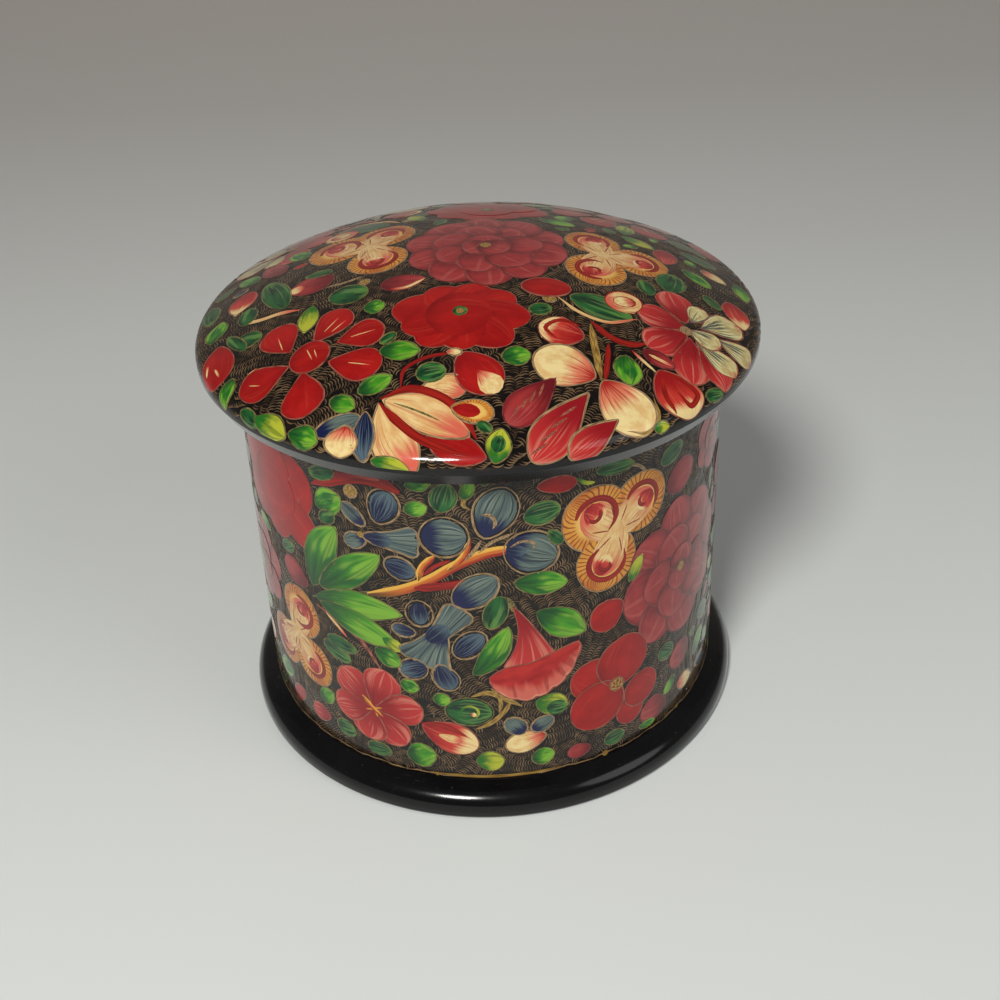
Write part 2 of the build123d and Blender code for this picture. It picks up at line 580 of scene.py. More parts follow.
def inside_finish():
    """Dark brown satin lacquer brushed on the inside."""
    f = Finish("inside_lacquer", gloss=0.45, coat=0.35, coat_gloss=0.2)
    place = f.coordinates("Object")
    brushed = f.noise(f.made("ShaderNodeMapping", Vector=place, Scale=(1.0, 1.0, 0.15)), 500.0, 4.0)
    cloudy = f.noise(place, 70.0, 4.0, 0.6).between(0.35, 0.7)
    body = f.mix(cloudy, shade(36, 22, 16), shade(66, 42, 28))
    f.colour(f.mix(brushed.between(0.5, 0.75) * 0.5, body, shade(92, 62, 40)))
    f.rough(0.38 + brushed * 0.2)
    return f.bump(brushed, 0.00005, 0.5)


def placed(name, data):
    """A new object in the scene."""
    thing = bpy.data.objects.new(name, data)
    bpy.context.scene.collection.objects.link(thing)
    return thing


def spread(grid, count, axis):
    """Grid points set evenly, count of them, along one of its two directions."""
    where = np.linspace(0, grid.shape[axis] - 1, count)
    low = np.minimum(where.astype(int), grid.shape[axis] - 2)
    share = (where - low).reshape((-1, 1, 1) if axis == 0 else (1, -1, 1))
    return np.take(grid, low, axis) * (1 - share) + np.take(grid, low + 1, axis) * share


def square_turn(line, closed=False):
    """Unit vectors a quarter turn to the left of a line's run, at each of its points."""
    run = np.roll(line, -1, 0) - np.roll(line, 1, 0) if closed else np.gradient(line, axis=0)
    run = run / np.maximum(np.linalg.norm(run, axis=1, keepdims=True), 1e-9)
    return np.stack([-run[:, 1], run[:, 0]], -1)


def walk(line):
    """Distance walked along a line, at each of its points, as a share of the whole."""
    steps = np.linalg.norm(np.diff(line, axis=0), axis=1)
    return np.concatenate([[0], np.cumsum(steps)]) / max(steps.sum(), 1e-9)


class Painting:
    """Collects the paint on one surface and remembers where it covers the ground."""

    grain = 0.2
    probe = 0.15

    def __init__(self, chart, name, seed):
        self.chart = chart
        self.name = name
        self.points = []
        self.normals = []
        self.faces = []
        self.looks = []
        self.maps = []
        self.count = 0
        self.chance = random.Random(seed)
        self.at()
        left, right, low, high = chart.reach
        size = (int((right - left) / self.grain) + 1, int((high - low) / self.grain) + 1)
        self.covered = np.zeros(size, bool)
        self.coats = np.zeros(size)

    def at(self, shift=(0, 0), turn=0.0, mirror=False):
        """Sets where the next motifs go: mirrored left to right, then turned in degrees, then moved."""
        self.shift = np.array(shift, float)
        self.turn = math.radians(turn)
        self.mirror = -1.0 if mirror else 1.0

    def moved(self, flat):
        x = flat[..., 0] * self.mirror
        y = flat[..., 1]
        c, s = math.cos(self.turn), math.sin(self.turn)
        return np.stack([c * x - s * y, s * x + c * y], -1) + self.shift

    def cell(self, points):
        """How far apart grid points may stand where a stroke goes."""
        return self.chart.cell(self.moved(np.array(points, float)))

    def footprint(self, flat):
        """Squares of the surface's map that a grid of points covers."""
        left, right, low, high = self.chart.reach
        for axis in (0, 1):
            length = np.linalg.norm(np.diff(flat, axis=axis), axis=-1).sum(axis).max()
            flat = spread(flat, max(2, math.ceil(length / self.probe)), axis)
        x = flat[..., 0]
        if self.chart is Wall:
            x = (x - left) % girth + left
        i = np.clip(((x - left) / self.grain).astype(int), 0, self.covered.shape[0] - 1)
        j = np.clip(((flat[..., 1] - low) / self.grain).astype(int), 0, self.covered.shape[1] - 1)
        return i, j

    def room(self, x, y, most=2.8):
        """Distance from a point to the nearest paint, as far as most."""
        left, right, low, high = self.chart.reach
        far = int(most / self.grain)
        i = int((x - left) / self.grain)
        j = int((y - low) / self.grain)
        near = self.covered[max(i - far, 0):i + far + 1, max(j - far, 0):j + far + 1]
        away = np.argwhere(near) - (min(i, far), min(j, far))
        return min([most, *np.hypot(away[:, 0], away[:, 1]) * self.grain])

    def patch(self, grid, along, look, level=None, closed=False):
        """Adds a closed body of paint over a grid of points, whose rows run from root to tip.

        Without a level it lies a coat above all that is under it. Returns its level.
        """
        flat = self.moved(grid)
        squares = self.footprint(flat)
        if level is None:
            level = max(1.0, self.coats[squares].max() + coat_rise)
            self.coats[squares] = level
        else:
            self.coats[squares] = np.maximum(self.coats[squares], level - line_rise)
        self.covered[squares] = True
        down, over = np.diff(flat, axis=0)[:, :-1], np.diff(flat, axis=1)[:-1]
        if (down[..., 0] * over[..., 1] - down[..., 1] * over[..., 0]).sum() < 0:
            flat = flat[:, ::-1]
        rows, columns = flat.shape[:2]
        inner_ends = flat[[0, -1], 1:-1].reshape(-1, 2)
        buried = np.concatenate([flat[:, [0, -1]].reshape(-1, 2), inner_ends])
        corner_x, corner_y = tile_of(look, self.chance.randrange(strokes * strokes))
        inner = 1 - 2 * margin
        map_u = corner_x + (margin + inner * np.linspace(0, 1, columns)) / cells
        map_v = corner_y + (margin + inner * np.asarray(along)) / cells
        upper = self.count + np.arange(rows * columns).reshape(rows, columns)
        under = upper.max() + 1 + np.arange(rows * 2).reshape(rows, 2)
        below = under.max() + 1 + np.arange(2 * columns - 4).reshape(2, columns - 2)
        root = [under[0, 0], *below[0], under[0, 1]]
        tip = [under[-1, 0], *below[1], under[-1, 1]]
        on_map = {}
        for i in range(rows):
            for j in range(columns):
                on_map[upper[i, j]] = (map_u[j], map_v[i])
            on_map[under[i, 0]] = (map_u[0], map_v[i])
            on_map[under[i, 1]] = (map_u[-1], map_v[i])
        for j in range(columns):
            on_map[root[j]] = (map_u[j], map_v[0])
            on_map[tip[j]] = (map_u[j], map_v[-1])
        faces = []
        pairs = [(i, i + 1) for i in range(rows - 1)]
        if closed:
            pairs.append((rows - 1, 0))
        for i, k in pairs:
            for j in range(columns - 1):
                faces.append((upper[i, j + 1], upper[i, j], upper[k, j], upper[k, j + 1]))
            faces.append((upper[i, 0], under[i, 0], under[k, 0], upper[k, 0]))
            faces.append((under[i, 1], upper[i, -1], upper[k, -1], under[k, 1]))
            near = under[i] if closed or i > 0 else root
            far = under[k] if closed or k < rows - 1 else tip
            faces.append((*near, *far[::-1]))
        if not closed:
            for j in range(columns - 1):
                faces.append((upper[0, j], upper[0, j + 1], root[j + 1], root[j]))
                faces.append((upper[-1, j + 1], upper[-1, j], tip[j], tip[j + 1]))
        self.faces += faces
        self.looks += [paint_names.index(look)] * len(faces)
        self.maps += [on_map[v] for face in faces for v in face]
        raised = self.chart.place(flat, first_coat + coat_step * level).reshape(-1, 3)
        self.points += [raised, self.chart.place(buried, -sink)]
        self.normals += [self.chart.normal(flat).reshape(-1, 3), self.chart.normal(buried)]
        self.count += len(raised) + len(buried)
        return level

    def strip(self, line, half, look, level=None, closed=False, across=None):
        """Adds a strip of paint along a line of points, with its half width at each point."""
        line = np.asarray(line, float)
        half = np.maximum(np.asarray(half, float), 0.03)
        if across is None:
            across = max(1, math.ceil(2 * half.max() / self.cell(line)))
        u = np.linspace(-1, 1, across + 1)
        side = square_turn(line, closed)
        grid = line[:, None] + side[:, None] * half[:, None, None] * u[None, :, None]
        along = walk(np.vstack([line, line[:1]]))[:-1] if closed else walk(line)
        self.patch(grid, along, look, level, closed)

    def build(self):
        mesh = bpy.data.meshes.new(self.name)
        mesh.from_pydata(np.concatenate(self.points).tolist(), [], [[int(v) for v in f] for f in self.faces])
        mesh.uv_layers.new(name="OFBake").data.foreach_set("uv", np.array(self.maps, np.float32).ravel())
        for material in paints:
            mesh.materials.append(material)
        mesh.polygons.foreach_set("material_index", self.looks)
        mesh.polygons.foreach_set("use_smooth", [True] * len(self.faces))
        mesh.normals_split_custom_set_from_vertices(np.concatenate(self.normals).tolist())
        mesh.update()
        piece = placed(self.name, mesh)
        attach(piece, self.chart.body)
        return piece


# Outlines of strokes: the first number moves the widest place towards the tip, the second rounds the ends
forms = {
    "round": (1.0, 0.5),
    "egg": (1.25, 0.55),
    "petal": (1.7, 0.6),
    "bud": (0.85, 0.75),
    "leaf": (1.05, 0.72),
}


def spine(root, tip, bend, count):
    """Points from root to tip on a smooth arc that stands off the straight line by bend."""
    root, tip = np.array(root, float), np.array(tip, float)
    t = (1 - np.cos(np.linspace(0, math.pi, count))) / 2
    run = tip - root
    side = np.array([-run[1], run[0]]) / max(np.linalg.norm(run), 1e-9)
    return root + t[:, None] * run + (4 * t * (1 - t) * bend)[:, None] * side, t


def curve(points, spacing):
    """A smooth line through points, with its own points about spacing apart."""
    points = np.array(points, float)
    knots = np.vstack([2 * points[0] - points[1], points, 2 * points[-1] - points[-2]])
    path = []
    for a, b, c, d in zip(knots, knots[1:], knots[2:], knots[3:]):
        for t in np.linspace(0, 1, max(3, math.ceil(np.linalg.norm(c - b) / spacing)), endpoint=False):
            pull = (c - a) * t + (2 * a - 5 * b + 4 * c - d) * t**2 + (3 * b - a - 3 * c + d) * t**3
            path.append(b + pull / 2)
    path.append(points[-1])
    return np.array(path)


def outline(art, edge, stand_off, level, look):
    """A line drawn by hand round an edge, a little way off it."""
    edge = np.asarray(edge, float)
    width = line_width if look == "gold_line" else faint_line_width
    walked = walk(np.vstack([edge, edge[:1]]))
    whole = np.linalg.norm(np.roll(edge, -1, 0) - edge, axis=1).sum()
    count = max(12, math.ceil(whole / (0.8 * art.cell(edge))))
    where = np.linspace(0, 1, count, endpoint=False)
    loop = np.stack([np.interp(where, walked, np.append(edge[:, k], edge[0, k])) for k in (0, 1)], -1)
    loop = (np.roll(loop, 1, 0) + 2 * loop + np.roll(loop, -1, 0)) / 4
    out = square_turn(loop, closed=True)
    if ((loop - loop.mean(0)) * out).sum() < 0:
        out = -out
    wave = art.chance.uniform(0, 2 * math.pi)
    round_trip = 2 * math.pi * where
    off = stand_off + 0.06 * np.sin(2 * round_trip + wave)
    swell = 1 + 0.35 * np.sin(round_trip + wave)
    art.strip(loop + out * off[:, None], width / 2 * swell, look, level, True, 1)


def lay(art, grid, along, look, line=True, gap=0.0, under=False):
    """Paints a grid and draws its outline; an outline under the paint joins neighbours into one body."""
    top = art.patch(grid, along, look)
    if line:
        edge = np.concatenate([grid[:, 0], grid[-1, 1:], grid[-2::-1, -1], grid[0, -2:0:-1]])
        colour = line if isinstance(line, str) else faint_lines.get(look, "gold_line")
        if under:
            outline(art, edge, gap + 0.13, coat_rise, colour)
        else:
            outline(art, edge, gap + 0.05, top + line_rise, colour)


def petal(art, root, tip, width, look, form="petal", bend=0.0, line=True, gap=0.0, under=False):
    """One petal, leaf or bud."""
    cell = art.cell([root, tip])
    along, t = spine(root, tip, bend, max(8, math.ceil(math.dist(root, tip) / cell) + 2))
    skew, power = forms[form]
    half = np.maximum(width / 2 * np.sin(math.pi * t**skew) ** power, 0.03)
    u = np.linspace(-1, 1, max(2, math.ceil(width / cell)) + 1)
    grid = along[:, None] + square_turn(along)[:, None] * half[:, None, None] * u[None, :, None]
    lay(art, grid, t, look, line, gap, under)


def between(art, root_edge, tip_edge, look, frills):
    """Paint between two edges, each drawn through points; frills scallop the second edge."""
    cell = 0.8 * art.cell(tip_edge)
    tips = curve(tip_edge, 0.4)
    roots = curve(root_edge, cell)
    spaced = walk(tips)
    start = np.stack([np.interp(spaced, walk(roots), roots[:, k]) for k in (0, 1)], -1)
    reach = np.linalg.norm(tips - start, axis=1).max()
    t = np.linspace(0, 1, max(5, math.ceil(reach / cell)))
    stretch = 1 + 0.5 / reach * np.abs(np.sin(frills * math.pi * spaced))
    grid = start[None] + (tips - start)[None] * stretch[None, :, None] * t[:, None, None]
    lay(art, grid, t, look)


def brush(art, points, width, look, taper=(0.15, 0.15)):
    """A stroke drawn through points, with its ends drawn out to a share of its width."""
    path = curve(points, 0.7 * art.cell(points))
    t = walk(path)
    ends = np.minimum(1, np.minimum(taper[0] + t * 4, taper[1] + (1 - t) * 4))
    art.strip(path, width / 2 * ends, look)


def marks(art, rows):
    """Petals and strokes in turn, one to a row.

    A petal has its paint, form, the root's x and y, the tip's x and y, the width, then bend, line and gap.
    A stroke has its paint, its width and the points that it is drawn through.
    """
    for look, kind, *rest in rows:
        if isinstance(kind, str):
            x, y, tip_x, tip_y, width, *more = rest
            petal(art, (x, y), (tip_x, tip_y), width, look, kind, *more)
        else:
            brush(art, rest, kind, look)


def dot(art, centre, across, look, line=False):
    x, y = centre
    petal(art, (x - across / 2, y), (x + across / 2, y), across, look, "round", line=line)


def ring_of(centre, radius, count, start=0.0):
    """Centres and directions of what stands in a ring."""
    for k in range(count):
        angle = math.radians(start) + 2 * math.pi * k / count
        yield centre[0] + radius * math.cos(angle), centre[1] + radius * math.sin(angle), angle


# Motifs

def rosette(art, centre, radius, rings, turn):
    """A full double flower of overlapping round petals; each ring has its reach, its size and its count."""
    dot(art, centre, radius * 1.5, "crimson")
    for step, (reach, size, count) in enumerate(rings):
        for x, y, angle in ring_of(centre, radius * reach, count, turn + step * 34):
            away = radius * size / 2 * art.chance.uniform(0.9, 1.08)
            root = (x - away * math.cos(angle), y - away * math.sin(angle))
            tip = (x + away * math.cos(angle), y + away * math.sin(angle))
            width = radius * size * art.chance.uniform(1.0, 1.25)
            petal(art, root, tip, width, "crimson", "round")
    dot(art, centre, radius * 0.14, "ochre")


def scalloped(art, centre, tips, heart=None):
    """A flat scarlet flower of one body, from its petals' tips and widths."""
    for x, y, width in tips:
        petal(art, centre, (x, y), width, "scarlet", "round", under=True)
    nearest = min(math.dist(centre, tip[:2]) for tip in tips)
    dot(art, centre, 1.3 * nearest, "scarlet")
    if heart:
        dot(art, heart, 2.0, "deep_green")
        dot(art, heart, 1.1, "ochre")


def curl(art, centre, size, turn, look, width, sweep, shrink=0.35):
    """A line that winds inwards round a centre."""
    points = []
    for share in np.linspace(0, 1, 9):
        angle = math.radians(turn + sweep * share)
        radius = size * (1 - (1 - shrink) * share)
        points.append((centre[0] + radius * math.cos(angle), centre[1] + radius * math.sin(angle)))
    brush(art, points, width, look, (0.4, 0.15))


def trefoil(art, heart, lobes):
    """Three round lobes grown together, with a rayed orange rim, thick red arcs and a cream heart."""
    towards = []
    for x, y, size in lobes:
        run = np.array([x - heart[0], y - heart[1]])
        towards.append(run / np.linalg.norm(run))
    for (x, y, size), run in zip(lobes, towards):
        back = (x - run[0] * size * 1.05, y - run[1] * size * 1.05)
        tip = (x + run[0] * size, y + run[1] * size)
        petal(art, back, tip, size * 2.0, "orange_rim", "round", under=True)
    for (x, y, size), run in zip(lobes, towards):
        root = (heart[0] - run[0] * 1.6, heart[1] - run[1] * 1.6)
        inner = (x + run[0] * size * 0.5, y + run[1] * size * 0.5)
        petal(art, root, inner, size * 1.2, "flame", "egg", line=False)
    # Where each lobe's arc starts, off the way that the lobe faces, and how far it winds
    arcs = ((30, -222), (118, -196), (-132, 264))
    for (x, y, size), run, (start, sweep) in zip(lobes, towards, arcs):
        facing = math.degrees(math.atan2(run[1], run[0]))
        low = (x - run[0] * size * 0.22, y - run[1] * size * 0.22)
        high = (x + run[0] * size * 0.46, y + run[1] * size * 0.46)
        petal(art, high, low, size * 0.7, "blush", "round", bend=0.4, line=False)
        curl(art, (x, y), size * 0.6, facing + start, "brick", size * 0.18, sweep, 1.06)
        eye = (x + run[0] * size * 0.1, y + run[1] * size * 0.1)
        curl(art, eye, size * 0.24, facing - 100, "brick", size * 0.13, sweep * 0.9, 0.5)
        for turn in (-34, 30):
            beside = math.radians(facing + turn)
            ray = (math.cos(beside) * size, math.sin(beside) * size)
            near = (heart[0] + ray[0] * 0.3, heart[1] + ray[1] * 0.3)
            far = (heart[0] + ray[0] * 0.82, heart[1] + ray[1] * 0.82)
            brush(art, [near, far], 0.16, "brick")


def open_flower(art, centre, tips):
    """An open flower from its petals' tips and widths, with a warm heart."""
    for x, y, width in tips:
        petal(art, centre, (x, y), width, "pink")
    for x, y, angle in ring_of(centre, 0.9, 4, 20):
        brush(art, [centre, (x, y), (x + 0.6 * math.cos(angle), y + 0.6 * math.sin(angle))], 0.35, "twig")
    brush(art, [(centre[0] - 1.8, centre[1] + 1.9), centre, (centre[0] + 1.4, centre[1] - 1.0)], 0.7, "twig")


def wild_rose(art, heart, places):
    """Broad scarlet petals that overlap round a tan heart; each is a centre, a width and a height."""
    for x, y, width, height in places:
        away = np.array([x - heart[0], y - heart[1]])
        away = away / np.linalg.norm(away)
        half = (away[0] ** 2 * width + away[1] ** 2 * height) / 2
        span = away[1] ** 2 * width + away[0] ** 2 * height
        root = (x - away[0] * half, y - away[1] * half)
        tip = (x + away[0] * half, y + away[1] * half)
        petal(art, root, tip, span, "scarlet", "round")
    dot(art, heart, 2.6, "ochre", "rose_line")
    for x, y, _ in ring_of(heart, 0.6, 5):
        dot(art, (x, y), 0.4, "brick")


def trumpet(art, root, mouth, narrow, wide, look="blue", frills=3, bend=0.0):
    """A blossom that flares to a frilled mouth."""
    spacing = 0.6 * art.cell([root, mouth])
    length = math.dist(root, mouth)
    middle, t = spine(root, mouth, bend, max(9, math.ceil(length / spacing)))
    u = np.linspace(-1, 1, max(10, math.ceil(wide / 0.4)))
    half = (narrow + (wide - narrow) * t**1.8) / 2 * np.minimum(1, np.sqrt(t * 5 + 0.02))
    grid = middle[:, None] + square_turn(middle)[:, None] * half[:, None, None] * u[None, :, None]
    run = (middle[-1] - middle[-2]) / np.linalg.norm(middle[-1] - middle[-2])
    scallops = 0.7 * np.abs(np.sin(frills * math.pi * (u + 1) / 2)) - 0.5 * u**2
    grid = grid + (t**3)[:, None, None] * scallops[None, :, None] * run
    lay(art, grid, t, look)


def leaves(art, tables):
    """Small leaves: for each paint the roots' x and y, the tips' x and y and the widths."""
    for look, rows in tables.items():
        for x, y, tip_x, tip_y, width in rows:
            leaf_form = "round" if look == "deep_green" else "leaf"
            petal(art, (x, y), (tip_x, tip_y), width, look, leaf_form, gap=0.04)


def blue_branch(art):
    """The blue blossoms and the orange twig that carries them."""
    bough = [(-17.2, 36), (-12.5, 37.8), (-8.4, 40), (-4.4, 42.8), (-0.6, 44.6), (2.4, 45.1)]
    brush(art, bough, 1.5, "twig", (0.4, 0.8))
    marks(art, (
        ("twig", 1, (-9.6, 39.9), (-8.9, 42.2), (-7, 44.3)),
        ("brick", 0.6, (-8.8, 40.9), (-7.2, 42.5), (-5.1, 43.6)),
        ("twig", 0.9, (-5.6, 42), (-3.4, 44.2), (-2.3, 47)),
        ("gold_line", 0.5, (-3.2, 43.6), (-1.9, 45.2), (-0.9, 46.8)),
        ("gold_line", 0.45, (-1.4, 44.8), (0.6, 46.5), (3.4, 47.6)),
    ))
    brush(art, [(-10.2, 38.6), (-6.8, 39.3), (-3.2, 40)], 1.25, "brick", (0.3, 0.8))
    marks(art, (
        ("navy", "egg", -14.9, 48.4, -12.6, 53.2, 3.9, 0, True, 0.4),
        ("blue", "egg", -16.6, 47.2, -20, 50, 2.5, 0, True, 0.1),
        ("blue", "egg", -16.6, 45.2, -20.1, 43.9, 2.6, 0, True, 0.1),
    ))
    trumpet(art, (-17.3, 45.6), (-9.6, 45.9), 1.6, 5)
    marks(art, (("navy", "round", -16.4, 45.5, -12.8, 45.7, 2.3, 0, False),))
    dot(art, (-17.4, 45.7), 1, "ochre")
    marks(art, (
        ("blue", "round", -8.7, 47, -2.8, 47.4, 5.6, 0, True, 0.4),
        ("navy", "round", -14.1, 42, -10, 40.9, 3.1, 0, True, 0.3),
        ("blue", "egg", -0.5, 47.3, 2.4, 54.2, 5.3, 0, True, 0.35),
        ("blue", "round", 2.3, 45.6, 8.8, 42.8, 6, 0, True, 0.35),
        ("blue", "round", -4.9, 36.5, 0.8, 40.7, 4.5, 0, True, 0.2),
    ))
    trumpet(art, (-8.8, 29.2), (-4.2, 35.4), 2.2, 4.6)
    trumpet(art, (-6.8, 32), (-9.8, 26), 3, 8.2)
    marks(art, (
        ("navy", "round", -8.9, 29.9, -6, 32.7, 3, 0, False),
        ("navy", "round", -9.9, 36.2, -9.8, 32.6, 2.7, 0, True, 0.6),
        ("navy", "round", -5.1, 27.8, -1.3, 31.3, 3.2, 0, True, 0.4),
        ("navy", "egg", -10.4, 31, -14.1, 31.2, 2.1, 0, True, 0.1),
        ("navy", "round", -9.4, 25.3, -13.2, 23.8, 3.1, 0, True, 0.3),
        ("navy", "egg", -7.6, 25.8, -6, 21.6, 3.3, 0, True, 0.3),
        ("gold_line", 0.5, (-0.7, 50.7), (0.4, 50.5), (1, 49.4), (0.6, 48.4)),
        ("navy", "egg", 2.2, 45.2, 4.8, 44.4, 1.8, 0, False),
        ("gold_line", 0.36, (2.7, 45.4), (4.4, 46.2), (5.9, 45.6), (5.7, 44.6)),
    ))


def front_of_wall(art):
    """What the front of the wall shows, read off the photograph in millimetres."""
    # Thin stems first, because flowers and leaves lie on them
    marks(art, (
        ("leaf_line", 0.9, (-27.8, 31.3), (-23.5, 33.5), (-18.6, 35.5), (-14, 37.1)),
        ("rose_line", 0.6, (-27, 30.3), (-23, 29.2), (-19.4, 27.4), (-17.4, 24.8), (-16.2, 22.8)),
        ("flame", 0.5, (-25.2, 29.8), (-23.4, 28.5), (-21.6, 26.9)),
        ("ochre", 0.7, (-3, 14.4), (-1, 15.4), (0.9, 17.3), (2.3, 19.6)),
        ("ochre", 0.8, (-3.4, 20.4), (-1.2, 21.1), (1, 20), (3.6, 18.2)),
        ("ochre", 0.6, (-0.6, 21.9), (0.6, 19.6), (0.4, 17.4)),
        ("leaf_line", 0.9, (1.8, 37.5), (2.6, 36.2), (3.2, 34.6)),
        ("gold_line", 0.5, (18.6, 54.2), (21.2, 53), (23, 51.2)),
    ))
    scalloped(art, (-34.3, 46.8), [
        (-25.9, 51.8, 10.4), (-25, 40.6, 7), (-33.8, 38.7, 7.2), (-42.6, 42, 8.4), (-43.2, 51, 9),
        (-33.6, 55.2, 8.6),
    ])
    rosette(art, (-43.5, 30.5), 7.6, ((0.66, 0.74, 7), (0.28, 0.6, 4)), turn=12)
    trefoil(art, (-33, 22.2), [(-31.3, 26.9, 4.3), (-29.7, 18.4, 4.1), (-37.2, 18.2, 4.1)])
    # Leaves that fan out from one root
    marks(art, (
        ("leaf_green", "leaf", -27.2, 33.4, -21.4, 45.6, 5.2, 0.9, True, 0.04),
        ("leaf_green", "leaf", -25.8, 34.2, -14.8, 43, 4.7, 0, True, 0.04),
        ("leaf_green", "leaf", -27, 31.7, -12.2, 33.6, 4.4, 0.8, True, 0.04),
        ("leaf_green", "leaf", -26.2, 31.3, -12.9, 27.4, 4.4, 0.7, True, 0.04),
        ("lime", "egg", -15.6, 29, -12.7, 27.5, 2.2, 0, False),
    ))
    blue_branch(art)
    # Carnation: a streaked throat and a frilled edge
    trumpet(art, (2.8, 35.8), (5.2, 25), 0.7, 8, "pink", 2, 0.7)
    upper = [(-0.8, 23.9), (1.9, 25.5), (4.6, 25.6), (8.6, 27.1), (11.9, 28.1)]
    lower = [(-0.8, 22.9), (0.6, 21), (3.6, 19.6), (6.7, 20.2), (10.2, 22.7), (12.4, 26.9)]
    between(art, upper, lower, "frill", 7)
    # Under the lid
    hanging = [(-25, 51.2), (-21.2, 53.2), (-17.4, 54.6), (-13.8, 54.6), (-11.2, 53.4)]
    brush(art, hanging, 2, "brick", (0.1, 0.3))
    marks(art, (("pink", 0.7, (-21.4, 53.5), (-17.6, 54.9), (-13.8, 54.9)),))
    dot(art, (-18.3, 52.2), 2.1, "ochre", line=True)
    marks(art, (
        ("scarlet", "egg", 6.3, 54, 12, 53.8, 2.6), ("lime", 0.6, (11.8, 54.2), (13, 53.2), (14.4, 52.9)),
        ("ochre", 0.6, (-3.4, 55.6), (-2.6, 54), (-3, 52.2), (-2.2, 51.6)),
    ))
    trefoil(art, (17.9, 44.4), [(14.5, 47.3, 4.9), (21.8, 47.3, 4.5), (16.2, 39.8, 4.6)])
    rosette(art, (30.6, 32), 11.4, ((0.7, 0.7, 8), (0.38, 0.66, 5), (0.12, 0.42, 2)), turn=8)
    wild_rose(art, (17.9, 17.7), [
        (13.9, 20.3, 6.6, 7.2), (20.4, 11.6, 5, 5.4), (22.4, 14.7, 6.2, 6.6), (19, 21.6, 8.8, 8.8),
        (14.8, 15, 8.8, 8.8),
    ])
    open_flower(art, (-18.2, 15.2), [
        (-23.6, 20.8, 6.2), (-15.6, 23, 6.2), (-10.4, 17.3, 5.6), (-13.4, 9.8, 5.6), (-19.9, 9, 6),
        (-25.2, 13.2, 5.4),
    ])
    # Buds
    marks(art, (
        ("crimson", "egg", -28.3, 32.9, -33.9, 34.9, 4.5), ("scarlet", "egg", 18.9, 32.2, 13.8, 29.4, 5.4),
        ("blush", "egg", -10.8, 14.4, -2.7, 10.9, 5.6),
        ("brick", 0.9, (-10.8, 14.7), (-7.6, 14.7), (-4.4, 13)),
        ("flame", "egg", -8.4, 12.9, -5, 11.9, 1.5, 0, False), ("cream", "egg", 7, 12.4, 1, 10.8, 4),
        ("blue", "round", 3.8, 13, 1.4, 16.2, 3), ("blue", "round", 4.8, 13.4, 8, 15.4, 2.8),
        ("crimson", "egg", 13.7, 7.7, 9.9, 7.5, 2.9), ("crimson", "egg", 28, 8.3, 22.4, 9.3, 5.2),
        ("pink", "egg", -26.8, 9.2, -31.2, 8.8, 3.4), ("crimson", "round", 33.9, 15.8, 28.7, 15, 5.2),
        ("crimson", "round", 26.9, 46.8, 33.2, 48.2, 5.2), ("cream", "bud", 30.8, 9.6, 35.4, 8.6, 3),
        ("scarlet", "egg", -33, 10.4, -36.6, 7.8, 3),
    ))
    rosette(art, (39.6, 48.8), 5.2, ((0.6, 0.8, 6), (0.2, 0.6, 3)), turn=30)
    marks(art, (
        ("lime", "leaf", 19.8, 34.8, 22.2, 38.6, 2.2),
        # Leaves; two of them hold a ring and a dot
        ("deep_green", "round", -7, 17.8, -0.6, 17.4, 4.8, 0, True, 0.25),
    ))
    curl(art, (-3.7, 17.4), 1.3, 200, "lime", 0.35, -250, 0.9)
    dot(art, (-3.2, 17.1), 0.8, "cream")
    marks(art, (
        ("lime", "leaf", 5.4, 18.7, 10.2, 17, 3.8, 0, True, 0.04),
        ("deep_green", "round", 7, 17.2, 10, 16.8, 2.7, 0, False),
    ))
    curl(art, (7.1, 50), 1, 20, "lime", 0.4, 240)
    marks(art, (("leaf_green", "leaf", -3.1, 24.2, 2.1, 32.5, 3.5, -0.7, True, 0.04),))
